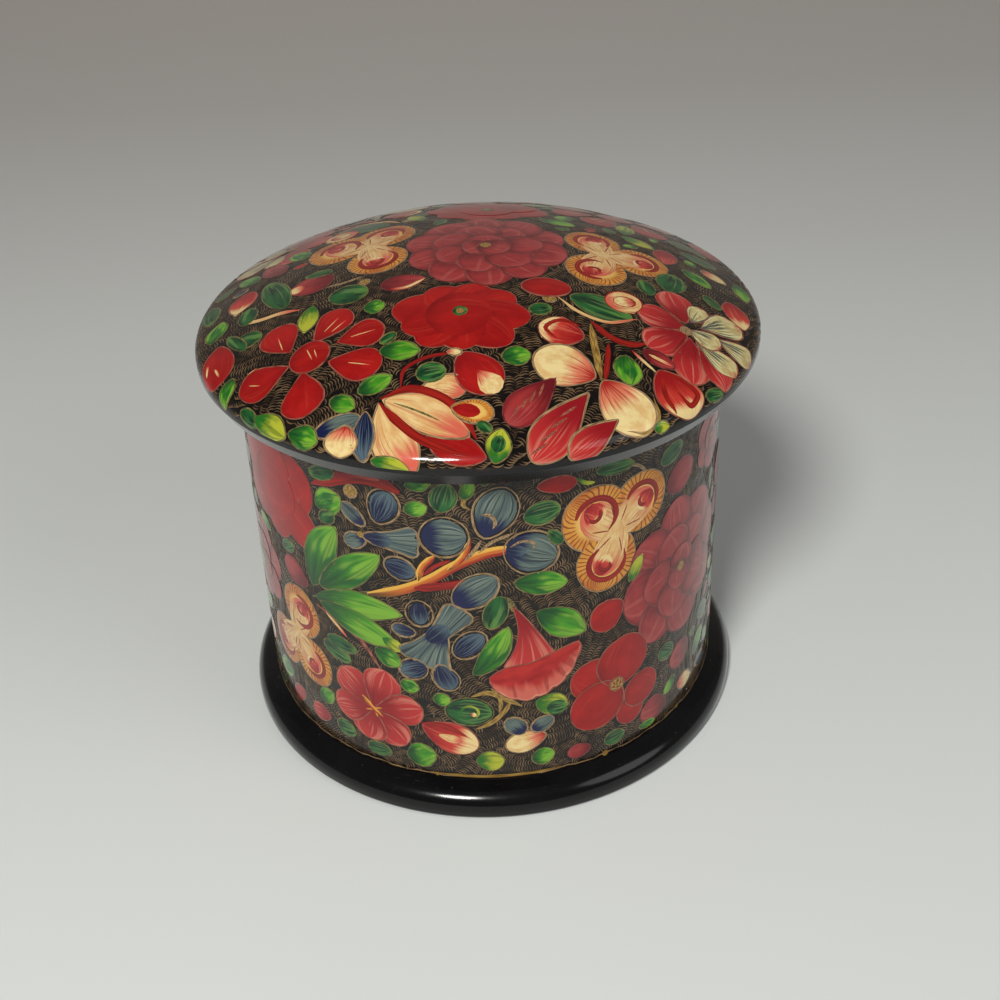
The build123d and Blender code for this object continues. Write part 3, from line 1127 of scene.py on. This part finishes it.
    leaves(art, {
        "leaf_green": (
            (-24.7, 48, -20, 50.8, 4), (-10.9, 50.7, -7.6, 51.8, 2.5), (-3.2, 53, -1.6, 55.6, 2),
            (-10.6, 54.6, -6.9, 55.2, 1.9), (3, 39.7, 10.4, 38.5, 3.8), (5.9, 34.5, 13, 29.3, 4.5),
            (-17, 26.9, -13, 24.7, 3.3), (-13.5, 21.7, -10.7, 21, 2.7), (-8.9, 19.3, -6.2, 19.9, 2.5),
            (-28.9, 11.9, -25.6, 14.6, 2.8), (-13.5, 7.8, -8.9, 9.1, 4.6), (4.6, 8, 8.1, 8.4, 3.4),
            (35.4, 12, 39.6, 15.2, 3.2), (-37.4, 37.6, -41.4, 38.6, 2.4), (-36, 12.6, -41.4, 10.4, 3.4),
            (30.2, 12.2, 27.4, 10, 2.2), (22, 7, 25.6, 6.4, 1.6),
        ),
        "deep_green": (
            (-20.6, 54.4, -25.2, 52.9, 2.3), (-24.2, 45.9, -21.4, 47.6, 2.2), (-6.2, 51, -4.8, 55.4, 3.5),
            (4.6, 49.7, 9.6, 50.4, 3.5), (14.4, 54.4, 20.6, 53.8, 2), (25.4, 51.4, 30.2, 52.6, 2.9),
            (1.4, 37.8, -0.4, 32.2, 3.1), (-26.4, 24.2, -21.4, 22.6, 3), (-25.6, 25.4, -20, 25, 2.4),
            (-34, 36.9, -30.6, 38.6, 1.9), (-25.6, 8.8, -22, 8.9, 3.4), (-20, 7.4, -15.8, 7.7, 2.6),
            (15.8, 7.4, 19.4, 7.8, 2.8), (26, 19.2, 29.4, 17.2, 3), (36.8, 19.4, 41.6, 17.2, 3),
            (9.8, 44.8, 7.8, 47.2, 1.7),
        ),
        "lime": ((-3.3, 8.1, 0.9, 8.4, 3.9),),
    })


def side_of_wall(art, wide):
    """What fills the wall between two fronts, made up of the same flowers; x runs from -12 to 12."""
    marks(art, (
        ("twig", 0.9, (-9, 5.8), (-6.2, 14), (-6.8, 23), (-2.8, 31.5), (1.4, 38.6), (2.4, 47.5)),
        ("gold_line", 0.6, (-5.6, 20), (0.4, 23.4), (5.6, 23)),
    ))
    trefoil(art, (3.3, 45.4), [(0.1, 48.4, 4), (6.8, 48.2, 4.2), (2.5, 41.3, 4.2)])
    open_flower(art, (6.8, 20.6), [
        (3, 25.2, 5.4), (9.8, 25.9, 5.6), (12, 19.4, 5.2), (8.2, 15, 5.2), (2.2, 17.2, 5.2),
    ])
    if wide:
        wild_rose(art, (-5.6, 37.2), [
            (-9.4, 34.4, 4.8, 5.4), (-3, 34.2, 5.4, 5.6), (-2.6, 39.2, 5.4, 5.8), (-8.2, 40, 6.6, 6.2),
            (-5.8, 33.4, 4.6, 5.6),
        ])
        marks(art, (
            ("blue", "petal", 6.4, 31.8, 11.6, 35.2, 4.2, 0, True, 0.35),
            ("navy", "egg", 6.2, 30.2, 11.8, 29, 3.8, 0, True, 0.35),
        ))
    marks(art, (
        ("blush", "egg", -6.2, 12.4, -11.2, 15.8, 4), ("cream", "egg", -4.4, 13.6, 0.4, 11.2, 4.4),
        ("crimson", "egg", 9, 8.4, 12.6, 10.4, 3.4), ("crimson", "egg", -4.6, 46.4, -8.6, 51.8, 4.2),
        ("scarlet", "egg", 9, 53, 13, 54.4, 2.4), ("cream", "egg", -11.8, 54.4, -6.8, 54.2, 2.2),
    ))
    leaves(art, {
        "leaf_green": (
            (-5.6, 26, -11.6, 29.2, 3.4), (-6.6, 18.4, -12.2, 22, 3.4), (-1.4, 32.6, 5.2, 33.6, 3.2),
            (-3.6, 7.4, 0.8, 6.8, 2.4), (-2.4, 54.2, 3.6, 54.2, 2), (8.6, 41.2, 12.4, 44.2, 2.8),
        ),
        "deep_green": (
            (-3.2, 29, 3.2, 28, 2.8), (-7, 8.4, -12, 9.2, 3), (-7.6, 44.8, -11.4, 48.2, 2.8),
        ),
        "lime": ((2.6, 9, 7.4, 11.2, 3),),
    })


def front_of_dome(art):
    """What the front half of the dome shows, read off the photograph in millimetres, but for its middle."""
    marks(art, (
        ("ochre", 0.95, (14.5, -18.8), (14.7, -23.4), (15, -28.4)),
        ("brick", 0.7, (16.5, -22), (16.1, -25), (15.4, -28.6)),
        ("brick", 1, (14.6, -18.2), (16.6, -20.6), (19.2, -21.6), (21.8, -20.8)),
        ("brick", 0.55, (-9.9, -28.8), (-9.4, -26.2), (-6.6, -24.7), (-3, -24.4)),
        ("cream", 0.4, (19.4, -22.6), (20.6, -24), (22.2, -25.6)),
    ))
    scalloped(art, (-2.4, -17.2), [
        (-11, -14.6, 6.6), (-6, -11.4, 6.4), (0.8, -11.2, 6.6), (5, -14, 6.2), (6.8, -18.4, 6.2),
        (4, -23.2, 6.4), (-1.8, -23.9, 6.4), (-7.4, -22.4, 6.2), (-9.8, -18.9, 6),
    ], (-2.2, -16.8))
    # Cluster of red petals round a red heart
    marks(art, (
        ("scarlet", "petal", -24.4, -18.4, -27.4, -11.9, 5.4),
        ("scarlet", "petal", -21.4, -17.8, -17, -12.6, 5.4),
        ("scarlet", "petal", -18.4, -19, -11.9, -18, 5.3),
        ("scarlet", "petal", -19.4, -22, -12.4, -25, 5.6),
        ("scarlet", "petal", -22.6, -22.6, -22.2, -29.9, 5.6),
        ("scarlet", "petal", -24.6, -20.8, -31, -22.6, 5.8),
    ))
    dot(art, (-21.8, -20.2), 5.6, "scarlet", line=True)
    for *start, x, y in (
        (-25.6, -17.2, -26.4, -14.4), (-20, -16.2, -18.2, -14), (-19, -16.6, -17.2, -15),
        (-16.6, -23.2, -13.8, -24.4), (-22.2, -18.8, -21.4, -21), (-21.2, -19.2, -20.8, -20.8),
        (-29.8, -21.6, -28.2, -22.4), (-16.4, -18.6, -13.2, -18.2), (-30.2, -19.4, -29, -18.8),
    ):
        brush(art, [start, (x, y)], 0.15, "flame")
    # Striped lily on the front edge
    marks(art, (
        ("flame", "petal", -12.6, -30.6, -8.4, -40.3, 5.2, -0.9),
        ("scarlet", "leaf", -6.8, -36.2, 0.2, -39.6, 3.8, -0.3),
        ("flame", "petal", -7.6, -29.7, -1.9, -30.8, 4, 0.9),
        ("flame", "leaf", -12.2, -30.3, -1.6, -36.9, 4.9, 0.5),
        ("brick", 1.1, (-12.6, -30.6), (-10.4, -33.6), (-7.6, -36.4), (-4.4, -38.2), (-1.8, -39.2)),
        ("brick", 1.15, (-12.4, -30.1), (-8.8, -29.3), (-5, -31), (-2.4, -33.8), (-0.8, -37.2)),
        ("leaf_line", 0.26, (-10.8, -31), (-7.8, -32.7), (-5.2, -34.3)),
        ("orange_rim", "egg", -3.8, -32.6, 1.5, -34.2, 3.4),
        ("scarlet", "egg", -3.6, -32.8, -0.2, -33.7, 1.9, 0, False),
        # Red and cream bud above the lily
        ("scarlet", "egg", -2.4, -24.4, 1.8, -31, 6),
        ("cream", "petal", -0.4, -27.4, 2.2, -30.9, 3.3, 0, False),
        ("cream", "egg", -4.2, -24.1, -2, -24.5, 1.1),
        # Blue flower with a cream flame
        ("blue", "round", -20.6, -32.8, -15, -32.2, 2.9), ("navy", "egg", -14.3, -31.4, -14.8, -38, 2.7),
        ("cream", "egg", -16.6, -32.9, -18, -36.6, 4.4),
        # Buds round the olive twig
        ("blush", "egg", 13.6, -21.2, 7.9, -19.4, 5.5, 0.4),
        ("brick", 0.6, (13.2, -19.4), (10.6, -18.6), (8.6, -20.2), (10, -22.2)),
        ("cream", "egg", 14.4, -28.2, 6.6, -25.6, 6.8, -0.3),
        ("cream", "egg", 15.2, -28.4, 20.2, -35.2, 6.9),
        ("ochre", 0.35, (21.4, -29.8), (21.8, -32.6), (20.2, -34.8), (17.6, -35.2)),
        ("crimson", "petal", 9.4, -28.6, 3, -35.4, 4.8),
        ("pink", "petal", 13.2, -30.6, 5.8, -40, 5.2, 0, "gold_line"),
        ("pink", "petal", 16.6, -33.8, 10.4, -39.4, 3.6, 0, "gold_line"),
    ))
    for k in range(4):
        brush(art, [(11.6 - k * 1.3, -32.6 - k * 1.7), (9.4 - k * 1.3, -34.2 - k * 1.7)], 0.3, "rose_line")
        brush(art, [(7.8 - k * 1.1, -29.6 - k * 1.1), (7.0 - k * 1.1, -31.6 - k * 0.9)], 0.3, "rose_line")
    # Red and cream bud on the right edge
    marks(art, (
        ("blush", "egg", 22.6, -25.2, 26.7, -31.2, 6.6),
        ("brick", 0.75, (23, -25.4), (25.6, -26), (27.2, -27.6), (26.2, -29.6), (24.6, -28)),
        ("brick", 0.7, (22.8, -25.8), (23, -29), (24.2, -31.4)),
        # Two-coloured flower on the right
        ("pink", "petal", 27.4, -15, 26.1, -8, 5.3), ("pink", "petal", 27.6, -16, 21, -14.2, 5),
        ("pink", "petal", 27.4, -16.8, 21.6, -21.4, 5.4), ("pink", "petal", 27.6, -17.6, 26.8, -26.2, 4.8),
        ("pink", "petal", 28.6, -18.4, 31.8, -25.2, 4),
        ("striped", "petal", 28.2, -14.4, 30.5, -10, 3.2, 0, "rose_line"),
        ("striped", "petal", 29.4, -15, 35.4, -11.4, 4.8, 0, "rose_line"),
        ("striped", "petal", 31.4, -16.2, 36.6, -18.4, 4.2, 0, "rose_line"),
        ("striped", "petal", 28.4, -18.2, 33.4, -22.2, 3.9, 0, "rose_line"),
        ("striped", "petal", 27.6, -16, 31.8, -17.9, 4, 0, "rose_line"),
    ))
    dot(art, (27.3, -16.4), 1.7, "gold_line")
    # Single buds
    marks(art, (
        ("scarlet", "egg", -35.2, -10.4, -35, -19, 5.2), ("cream", 0.4, (-36.4, -13.4), (-36.6, -15.8)),
        ("flame", 0.3, (-35.2, -15.2), (-34.4, -17.2)),
        ("deep_green", "leaf", 12.2, -13.2, 20.2, -16.8, 5, 0, True, 0.04),
        ("flame", 0.5, (10.7, -13.8), (13.2, -16.6), (16.8, -18), (20.8, -16.4)),
        ("flame", "round", 21.9, -12.5, 16.9, -13.7, 4.9, 0, "brick"),
        ("cream", "round", 21, -12.7, 18, -13.4, 2.5, 0, "brick"),
        ("crimson", "bud", 20.8, -22.2, 25, -24.4, 2.7), ("flame", 0.5, (21.6, -22.8), (24.4, -24)),
    ))
    leaves(art, {
        "deep_green": (
            (-33, -11.4, -28.8, -12.6, 3.4), (-8, -27.3, -4.2, -27.1, 3.3), (6.7, -16.9, 9.7, -16.2, 2.6),
            (28.6, -27.4, 31.4, -25.8, 1.8), (-30.8, -25.2, -28.8, -28.4, 2),
            (-10.4, -19.6, -12.6, -21, 1.6), (-0.6, -34.9, 1, -36.4, 1.4), (-31, -14.2, -34, -9, 1.6),
        ),
        "lime": (
            (-22, -9.4, -22.8, -15.2, 2.8), (-28.8, -27.2, -24.8, -31.8, 3.2), (1.2, -40.2, 2.3, -36, 3),
            (-13.8, -38, -9.4, -40.2, 2.1), (21.2, -34, 23.4, -33.2, 1.5),
        ),
        "leaf_green": (
            (-15, -13.2, -11.9, -13.5, 3.1), (-12.8, -22.3, -7.3, -23.4, 3.3),
            (-15.4, -28.6, -10.9, -26.8, 3), (-18.9, -28.4, -15.6, -30.6, 2.7),
            (-32.4, -18.8, -34, -23, 2.4), (-24.2, -31.4, -20.4, -34, 3), (2.7, -25.6, 6.5, -25, 3.4),
            (18.5, -23.6, 18.6, -28.6, 3.7),
        ),
        "ochre": ((8.6, -14, 10.4, -14.6, 1.3),),
    })
    marks(art, (("deep_green", "round", 1.4, -38.9, 2.1, -36.8, 1.8, 0, False),))


def middle_of_dome(art):
    """The double flower on the crown, the trefoils beside it, and what lies at the two sides."""
    rosette(art, (1.6, -0.3), 11.2, ((0.72, 0.6, 10), (0.42, 0.56, 7), (0.12, 0.42, 3)), turn=20)
    trefoil(art, (-14.7, 4.2), [(-19.2, 6.2, 4.5), (-12.7, 8, 4.3), (-13.4, -0.8, 4.1)])
    trefoil(art, (17.8, -1), [(16.4, -5.8, 4.1), (22.9, -1.2, 3.9), (16.7, 3.2, 3.8)])
    marks(art, (
        ("crimson", "bud", -12.8, -8.2, -6.6, -8.3, 4, -0.5),
        ("cream", 0.5, (-11.6, -10), (-9.2, -10.1), (-6.8, -8.6)),
        ("scarlet", "round", 5.9, -11.4, 12.6, -12, 4.4),
    ))
    dot(art, (-15, -6.8), 1.5, "ochre", line=True)
    marks(art, (
        ("blush", "bud", -32.2, 2.4, -33.6, -3.8, 4.2), ("crimson", "bud", -19.4, -3.2, -26, -3.8, 5.4),
        ("cream", "bud", -23.4, -3.6, -26, -3.8, 2, 0, False), ("blush", "bud", 35, -5.6, 36, -11.6, 3.6),
        ("flame", 0.7, (-32.6, -7), (-29.6, -8.2), (-26.4, -8.6), (-23.8, -9.4)),
        ("gold_line", 0.45, (-20.4, -5.6), (-17.6, -5.6), (-15.4, -5)),
        ("pink", "bud", 27.6, 6.2, 26.8, 0.6, 3.6), ("crimson", "bud", -27.6, 4.2, -30.4, 9.6, 3.8),
        ("cream", "bud", 32.2, 2.6, 35.6, 0.4, 2.6),
    ))
    leaves(art, {
        "deep_green": (
            (-19.8, -8.7, -14.4, -9.4, 4.6), (-31.6, -8.1, -31.4, -3.6, 2.8), (-26, -7.6, -29.4, 2.2, 3.6),
            (26, -8, 27.6, -2.6, 4), (23.4, -10.3, 22.6, -6.4, 2.4), (-38.2, 3, -37.4, -2.6, 2.6),
            (30, 8, 35, 5.4, 3.2), (31.2, -6, 33.2, -8.8, 2), (-19.6, -1.2, -23.8, -0.4, 1.8),
        ),
        "leaf_green": (
            (-36.6, -8.6, -35.6, -3.8, 3), (29.2, 0.6, 32.8, -3.2, 2.8), (-24.2, 7, -26.6, 11.8, 3),
            (37.4, 2.4, 37.9, -3, 2.2), (-31.4, 5, -34.2, 9, 2.8), (9.6, 11.6, 14.8, 9.4, 2.8),
        ),
        "lime": (
            (21.4, 8.4, 25.8, 5.4, 2.8), (-7.2, 12.8, -9.4, 17, 2.4),
        ),
    })


def foot_line(art):
    """Thin gold line that closes the painting above the foot, drawn by hand and worn here and there, with a
    painted highlight along its front.
    """
    x = np.linspace(0, girth, 220, endpoint=False)
    waver = 0.12 * np.sin(x * 0.9) + 0.08 * np.sin(x * 2.3 + 1)
    line = np.stack([x - girth / 2, wall_foot + 0.7 + waver], -1)
    swell = np.maximum(0.09 + 0.08 * np.sin(x * 1.7) * np.sin(x * 0.31), 0.04)
    closing = np.array([[girth, 0]])
    art.strip(np.vstack([line, line[:1] + closing]), np.append(swell, swell[0]), "gold_line", across=1)
    # Ochre stroke on the line at the front only: partly painted highlight, the glint of the gold line where
    # it faces the lamp, partly the line's own worn gold
    marks(art, (("ochre", 0.5, (-10, wall_foot + 0.9), (-1, wall_foot + 0.75), (9.5, wall_foot + 0.9)),))
    for at, size in ((16.0, 1.0), (-9.0, 0.6), (31.0, 0.7), (60.0, 0.8), (-52.0, 0.7), (-88.0, 0.6)):
        dot(art, (at, wall_foot + 0.7), size, "ochre")


def small_leaves(art, tries, within):
    """Leaves and buds on ground that is still bare, each as large as its gap allows."""
    left, right, low, high = art.chart.reach
    looks = ("leaf_green", "leaf_green", "deep_green", "deep_green", "lime", "crimson", "scarlet", "navy")
    for _ in range(tries):
        x = art.chance.uniform(left + 2, right - 2)
        y = art.chance.uniform(low + 2, high - 1.6)
        angle = art.chance.uniform(0, 2 * math.pi)
        look = art.chance.choice(looks)
        room = art.room(x, y)
        if room < 1.3 or not within(x, y):
            continue
        half = min(room, 2.5) - 0.25
        across = half * math.cos(angle)
        up = half * math.sin(angle)
        petal(art, (x - across, y - up), (x + across, y + up), half * 1.15, look, "leaf", gap=0.04)


wall_art = Painting(Wall, "wall_painting", 11)
front_of_wall(wall_art)
wall_art.at((girth / 2, 0), mirror=True)
front_of_wall(wall_art)
side_middle = girth / 4 - 0.5
wall_art.at((side_middle, 0))
side_of_wall(wall_art, wide=True)
wall_art.at((-side_middle, 0), mirror=True)
side_of_wall(wall_art, wide=False)
wall_art.at()
foot_line(wall_art)
small_leaves(wall_art, 5000, lambda x, y: abs(x) > 35 or y > 56)

dome_art = Painting(Dome, "lid_painting", 23)
front_of_dome(dome_art)
dome_art.at(turn=180)
front_of_dome(dome_art)
dome_art.at()
middle_of_dome(dome_art)
small_leaves(dome_art, 4000, lambda x, y: y > 3 and math.hypot(x, y) < 37)


# Hatching: short curved strokes in rows, which fill the ground between the flowers

def stroke_mesh():
    """One short curved stroke, pointed at both ends, lying along x with z up."""
    length, width, depth, bow = 1.3, 0.165, 0.014, 0.26
    t = np.linspace(-1, 1, 5)
    x = t * length / 2
    middle = bow * (t**2 - 0.4)
    half = width / 2 * np.sqrt(1 - (t * 0.97) ** 2)
    points = []
    for k in range(5):
        for side, height in ((-1, depth), (1, depth), (0, -sink)):
            points.append((x[k], middle[k] + side * half[k], height))
    faces = []
    for k in range(4):
        a = 3 * k
        b = a + 3
        faces += [(a, b, b + 1, a + 1), (a + 2, b + 2, b, a), (a + 1, b + 1, b + 2, a + 2)]
    faces += [(0, 1, 2), (13, 12, 14)]
    mesh = bpy.data.meshes.new("hatch_stroke")
    mesh.from_pydata([tuple(c * mm for c in p) for p in points], [], faces)
    mesh.update()
    return mesh


def hatch_places(art, seed):
    """Where strokes go: patches of ground, each filled with rows that run its own way."""
    chance = random.Random(seed)
    left, right, low, high = art.chart.reach
    ground = ~art.covered
    patch = 6.5
    row, step = 1.16, 0.4
    rows, steps = 8, 24
    places = []
    across = round((right - left) / patch)
    up = max(1, round((high - low) / patch))
    seeds = []
    for i in range(across):
        for j in range(up):
            x = left + (i + chance.random()) * (right - left) / across
            y = low + (j + chance.random()) * (high - low) / up
            seeds.append((x, y, chance.uniform(0, math.pi)))
    centres = np.array([s[:2] for s in seeds])
    for n, (cx, cy, angle) in enumerate(seeds):
        c, s = math.cos(angle), math.sin(angle)
        for i in range(-steps, steps + 1):
            for j in range(-rows, rows + 1):
                a = i * step + chance.uniform(-0.05, 0.05)
                b = j * row + 0.12 * math.sin(i * 0.7)
                x = cx + c * a - s * b
                y = cy + s * a + c * b
                if not art.chart.inside(x, y) or not left <= x < right:
                    continue
                if not ground[int((x - left) / art.grain), int((y - low) / art.grain)]:
                    continue
                if np.argmin(((centres - (x, y)) ** 2).sum(1)) != n:
                    continue
                lean = art.chart.grain_of(x, y, angle + math.pi / 2 + 0.35 * math.sin(j * 1.9 + n))
                places.append((x, y, lean, chance.uniform(0.8, 1.15)))
    return places


def hatch_tree(stroke, material):
    """Lays a copy of the stroke on each point, turned by the point's own directions."""
    tree = bpy.data.node_groups.new("hatching", "GeometryNodeTree")
    face = tree.interface
    face.new_socket("Geometry", in_out="INPUT", socket_type="NodeSocketGeometry")
    length = face.new_socket("Stroke length", in_out="INPUT", socket_type="NodeSocketFloat")
    length.default_value = 1.0
    face.new_socket("Geometry", in_out="OUTPUT", socket_type="NodeSocketGeometry")
    nodes = Nodes(tree)
    start = nodes.node("NodeGroupInput").outputs
    points = Socket(nodes, start["Geometry"])
    size = Socket(nodes, start["Stroke length"])

    def stored(name, kind):
        settings = {"data_type": kind}
        return nodes.made("GeometryNodeInputNamedAttribute", settings, "Attribute", Name=name)

    align = "FunctionNodeAlignRotationToVector"
    up = nodes.made(align, {"axis": "Z"}, Vector=stored("out", "FLOAT_VECTOR"))
    ahead = stored("run", "FLOAT_VECTOR")
    along = nodes.made(align, {"axis": "X", "pivot_axis": "Z"}, Rotation=up, Vector=ahead)
    scale = stored("size", "FLOAT") * size
    stretch = nodes.made("ShaderNodeCombineXYZ", X=scale, Y=scale, Z=1.0)
    shape = nodes.made("GeometryNodeObjectInfo", output="Geometry", Object=stroke)
    laid = nodes.made(
        "GeometryNodeInstanceOnPoints", Points=points, Instance=shape, Rotation=along, Scale=stretch,
    )
    real = nodes.made("GeometryNodeRealizeInstances", Geometry=laid)
    painted = nodes.made("GeometryNodeSetMaterial", Geometry=real, Material=material)
    nodes.join(nodes.node("NodeGroupOutput").inputs[0], painted)
    return tree, length.identifier


def hatching(art, name, seed, parts, tree, length_input):
    """The hatching of one surface, in a few pieces so that none is too large."""
    places = hatch_places(art, seed)
    share = math.ceil(len(places) / parts)
    for k in range(parts):
        group = places[k * share:(k + 1) * share]
        flat = np.array([p[:2] for p in group])
        ahead = flat + np.array([[math.cos(p[2]), math.sin(p[2])] for p in group]) * 0.05
        base = art.chart.place(flat, 0.0)
        run = art.chart.place(ahead, 0.0) - base
        run = run / np.linalg.norm(run, axis=1, keepdims=True)
        points = bpy.data.meshes.new(name)
        points.from_pydata(base.tolist(), [], [])
        for field, values in (("out", art.chart.normal(flat)), ("run", run)):
            directions = points.attributes.new(field, "FLOAT_VECTOR", "POINT").data
            directions.foreach_set("vector", values.astype(np.float32).ravel())
        sizes = points.attributes.new("size", "FLOAT", "POINT").data
        sizes.foreach_set("value", [p[3] for p in group])
        guide = placed(name + "_points", points)
        modifier = guide.modifiers.new("hatching", "NODES")
        modifier.node_group = tree
        modifier[length_input] = 1.0
        bpy.context.view_layer.update()
        grown = guide.evaluated_get(bpy.context.evaluated_depsgraph_get())
        mesh = bpy.data.meshes.new_from_object(grown)
        bpy.data.objects.remove(guide)
        mesh.name = f"{name}_{k + 1}"
        piece = placed(f"{name}_{k + 1}", mesh)
        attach(piece, art.chart.body)


wall_art.build()
dome_art.build()
brown = hatch_finish().material
stroke = bpy.data.objects.new("hatch_stroke", stroke_mesh())
tree, length_input = hatch_tree(stroke, brown)
hatching(wall_art, "wall_hatching", 5, 2, tree, length_input)
hatching(dome_art, "lid_hatching", 7, 1, tree, length_input)
bpy.data.objects.remove(stroke)


# Finishes of the solid pieces

def dress(names, material):
    for name in names:
        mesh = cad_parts[name].data
        mesh.materials.clear()
        mesh.materials.append(material)


dress(["foot", "lid_hoop"], lacquer_finish().material)
dress(["wall_skin", "dome_skin"], ground_finish().material)
dress(["wall_core", "floor_board", "lid_board", "lid_collar", "dome_core"], inside_finish().material)


# Studio

def stage_floor():
    """A pale floor that runs up into a backdrop, where it is a little darker and warmer."""
    f = Finish("pale_floor", gloss=0.6, coat=0.0)
    place = f.coordinates("Object")
    near = f.mix(f.noise(place, 8.0, 4.0), shade(226, 231, 229), shade(233, 238, 236))
    f.colour(f.mix(f.parts(place)[1].between(-0.1, 0.5), near, shade(206, 199, 192)))
    front, bend_start, bend, top, half_width, steps = -1.2, 0.3, 0.5, 1.6, 1.6, 12
    rows = [(front + (bend_start - front) * k / steps, 0.0) for k in range(steps + 1)]
    for k in range(1, steps + 1):
        angle = math.radians(90 * k / steps)
        rows.append((bend_start + bend * math.sin(angle), bend * (1 - math.cos(angle))))
    rows.append((bend_start + bend, top))
    points = [(x, y, z) for y, z in rows for x in (-half_width, half_width)]
    faces = [(2 * k, 2 * k + 1, 2 * k + 3, 2 * k + 2) for k in range(len(rows) - 1)]
    mesh = bpy.data.meshes.new("floor")
    mesh.from_pydata(points, [], faces)
    mesh.polygons.foreach_set("use_smooth", [True] * len(faces))
    mesh.materials.append(f.material)
    floor = placed("floor", mesh)


def soft_lamp(name, place, aim, size, power, tint=(1.0, 1.0, 1.0)):
    light = bpy.data.lights.new(name, "AREA")
    light.shape = "DISK"
    light.size = size
    light.energy = power
    light.color = tint
    lamp = placed(name, light)
    lamp.location = place
    lamp.rotation_euler = (Vector(aim) - Vector(place)).to_track_quat("-Z", "Y").to_euler()


def stage_camera():
    """The photograph's view: 177 mm in front of the axis, 149 mm up, looking down at the box."""
    lens, sensor = 49.33, 36.0
    back, height = 0.17744, 0.14853
    yaw, pitch, roll = 0.01198, 0.59165, -0.04213
    ahead = Vector((math.sin(yaw) * math.cos(pitch), math.cos(yaw) * math.cos(pitch), -math.sin(pitch)))
    right = Vector((math.cos(yaw), -math.sin(yaw), 0))
    up = right.cross(ahead)
    tilted_right = math.cos(roll) * right + math.sin(roll) * up
    tilted_up = -math.sin(roll) * right + math.cos(roll) * up
    data = bpy.data.cameras.new("camera")
    data.lens = lens
    data.sensor_width = sensor
    data.clip_start = 0.01
    camera = placed("camera", data)
    axes = Matrix((tilted_right, tilted_up, -ahead)).transposed()
    camera.matrix_world = Matrix.Translation((0, -back, height)) @ axes.to_4x4()
    bpy.context.scene.camera = camera


def stage_world():
    world = bpy.data.worlds.new("studio")
    bpy.context.scene.world = world
    world.use_nodes = True
    light = world.node_tree.nodes["Background"]
    cool_white = (0.93, 0.96, 1.0, 1.0)
    light.inputs["Color"].default_value = cool_white
    light.inputs["Strength"].default_value = 0.148


stage_floor()
stage_camera()
stage_world()
soft_lamp("key", (-0.16, -0.42, 0.50), (0, 0, 0.03), 0.16, 3.15, (1.0, 0.98, 0.94))
soft_lamp("fill", (0.55, -0.35, 0.45), (0, 0, 0.03), 0.5, 1.05)
bpy.context.scene.view_settings.view_transform = "Standard"
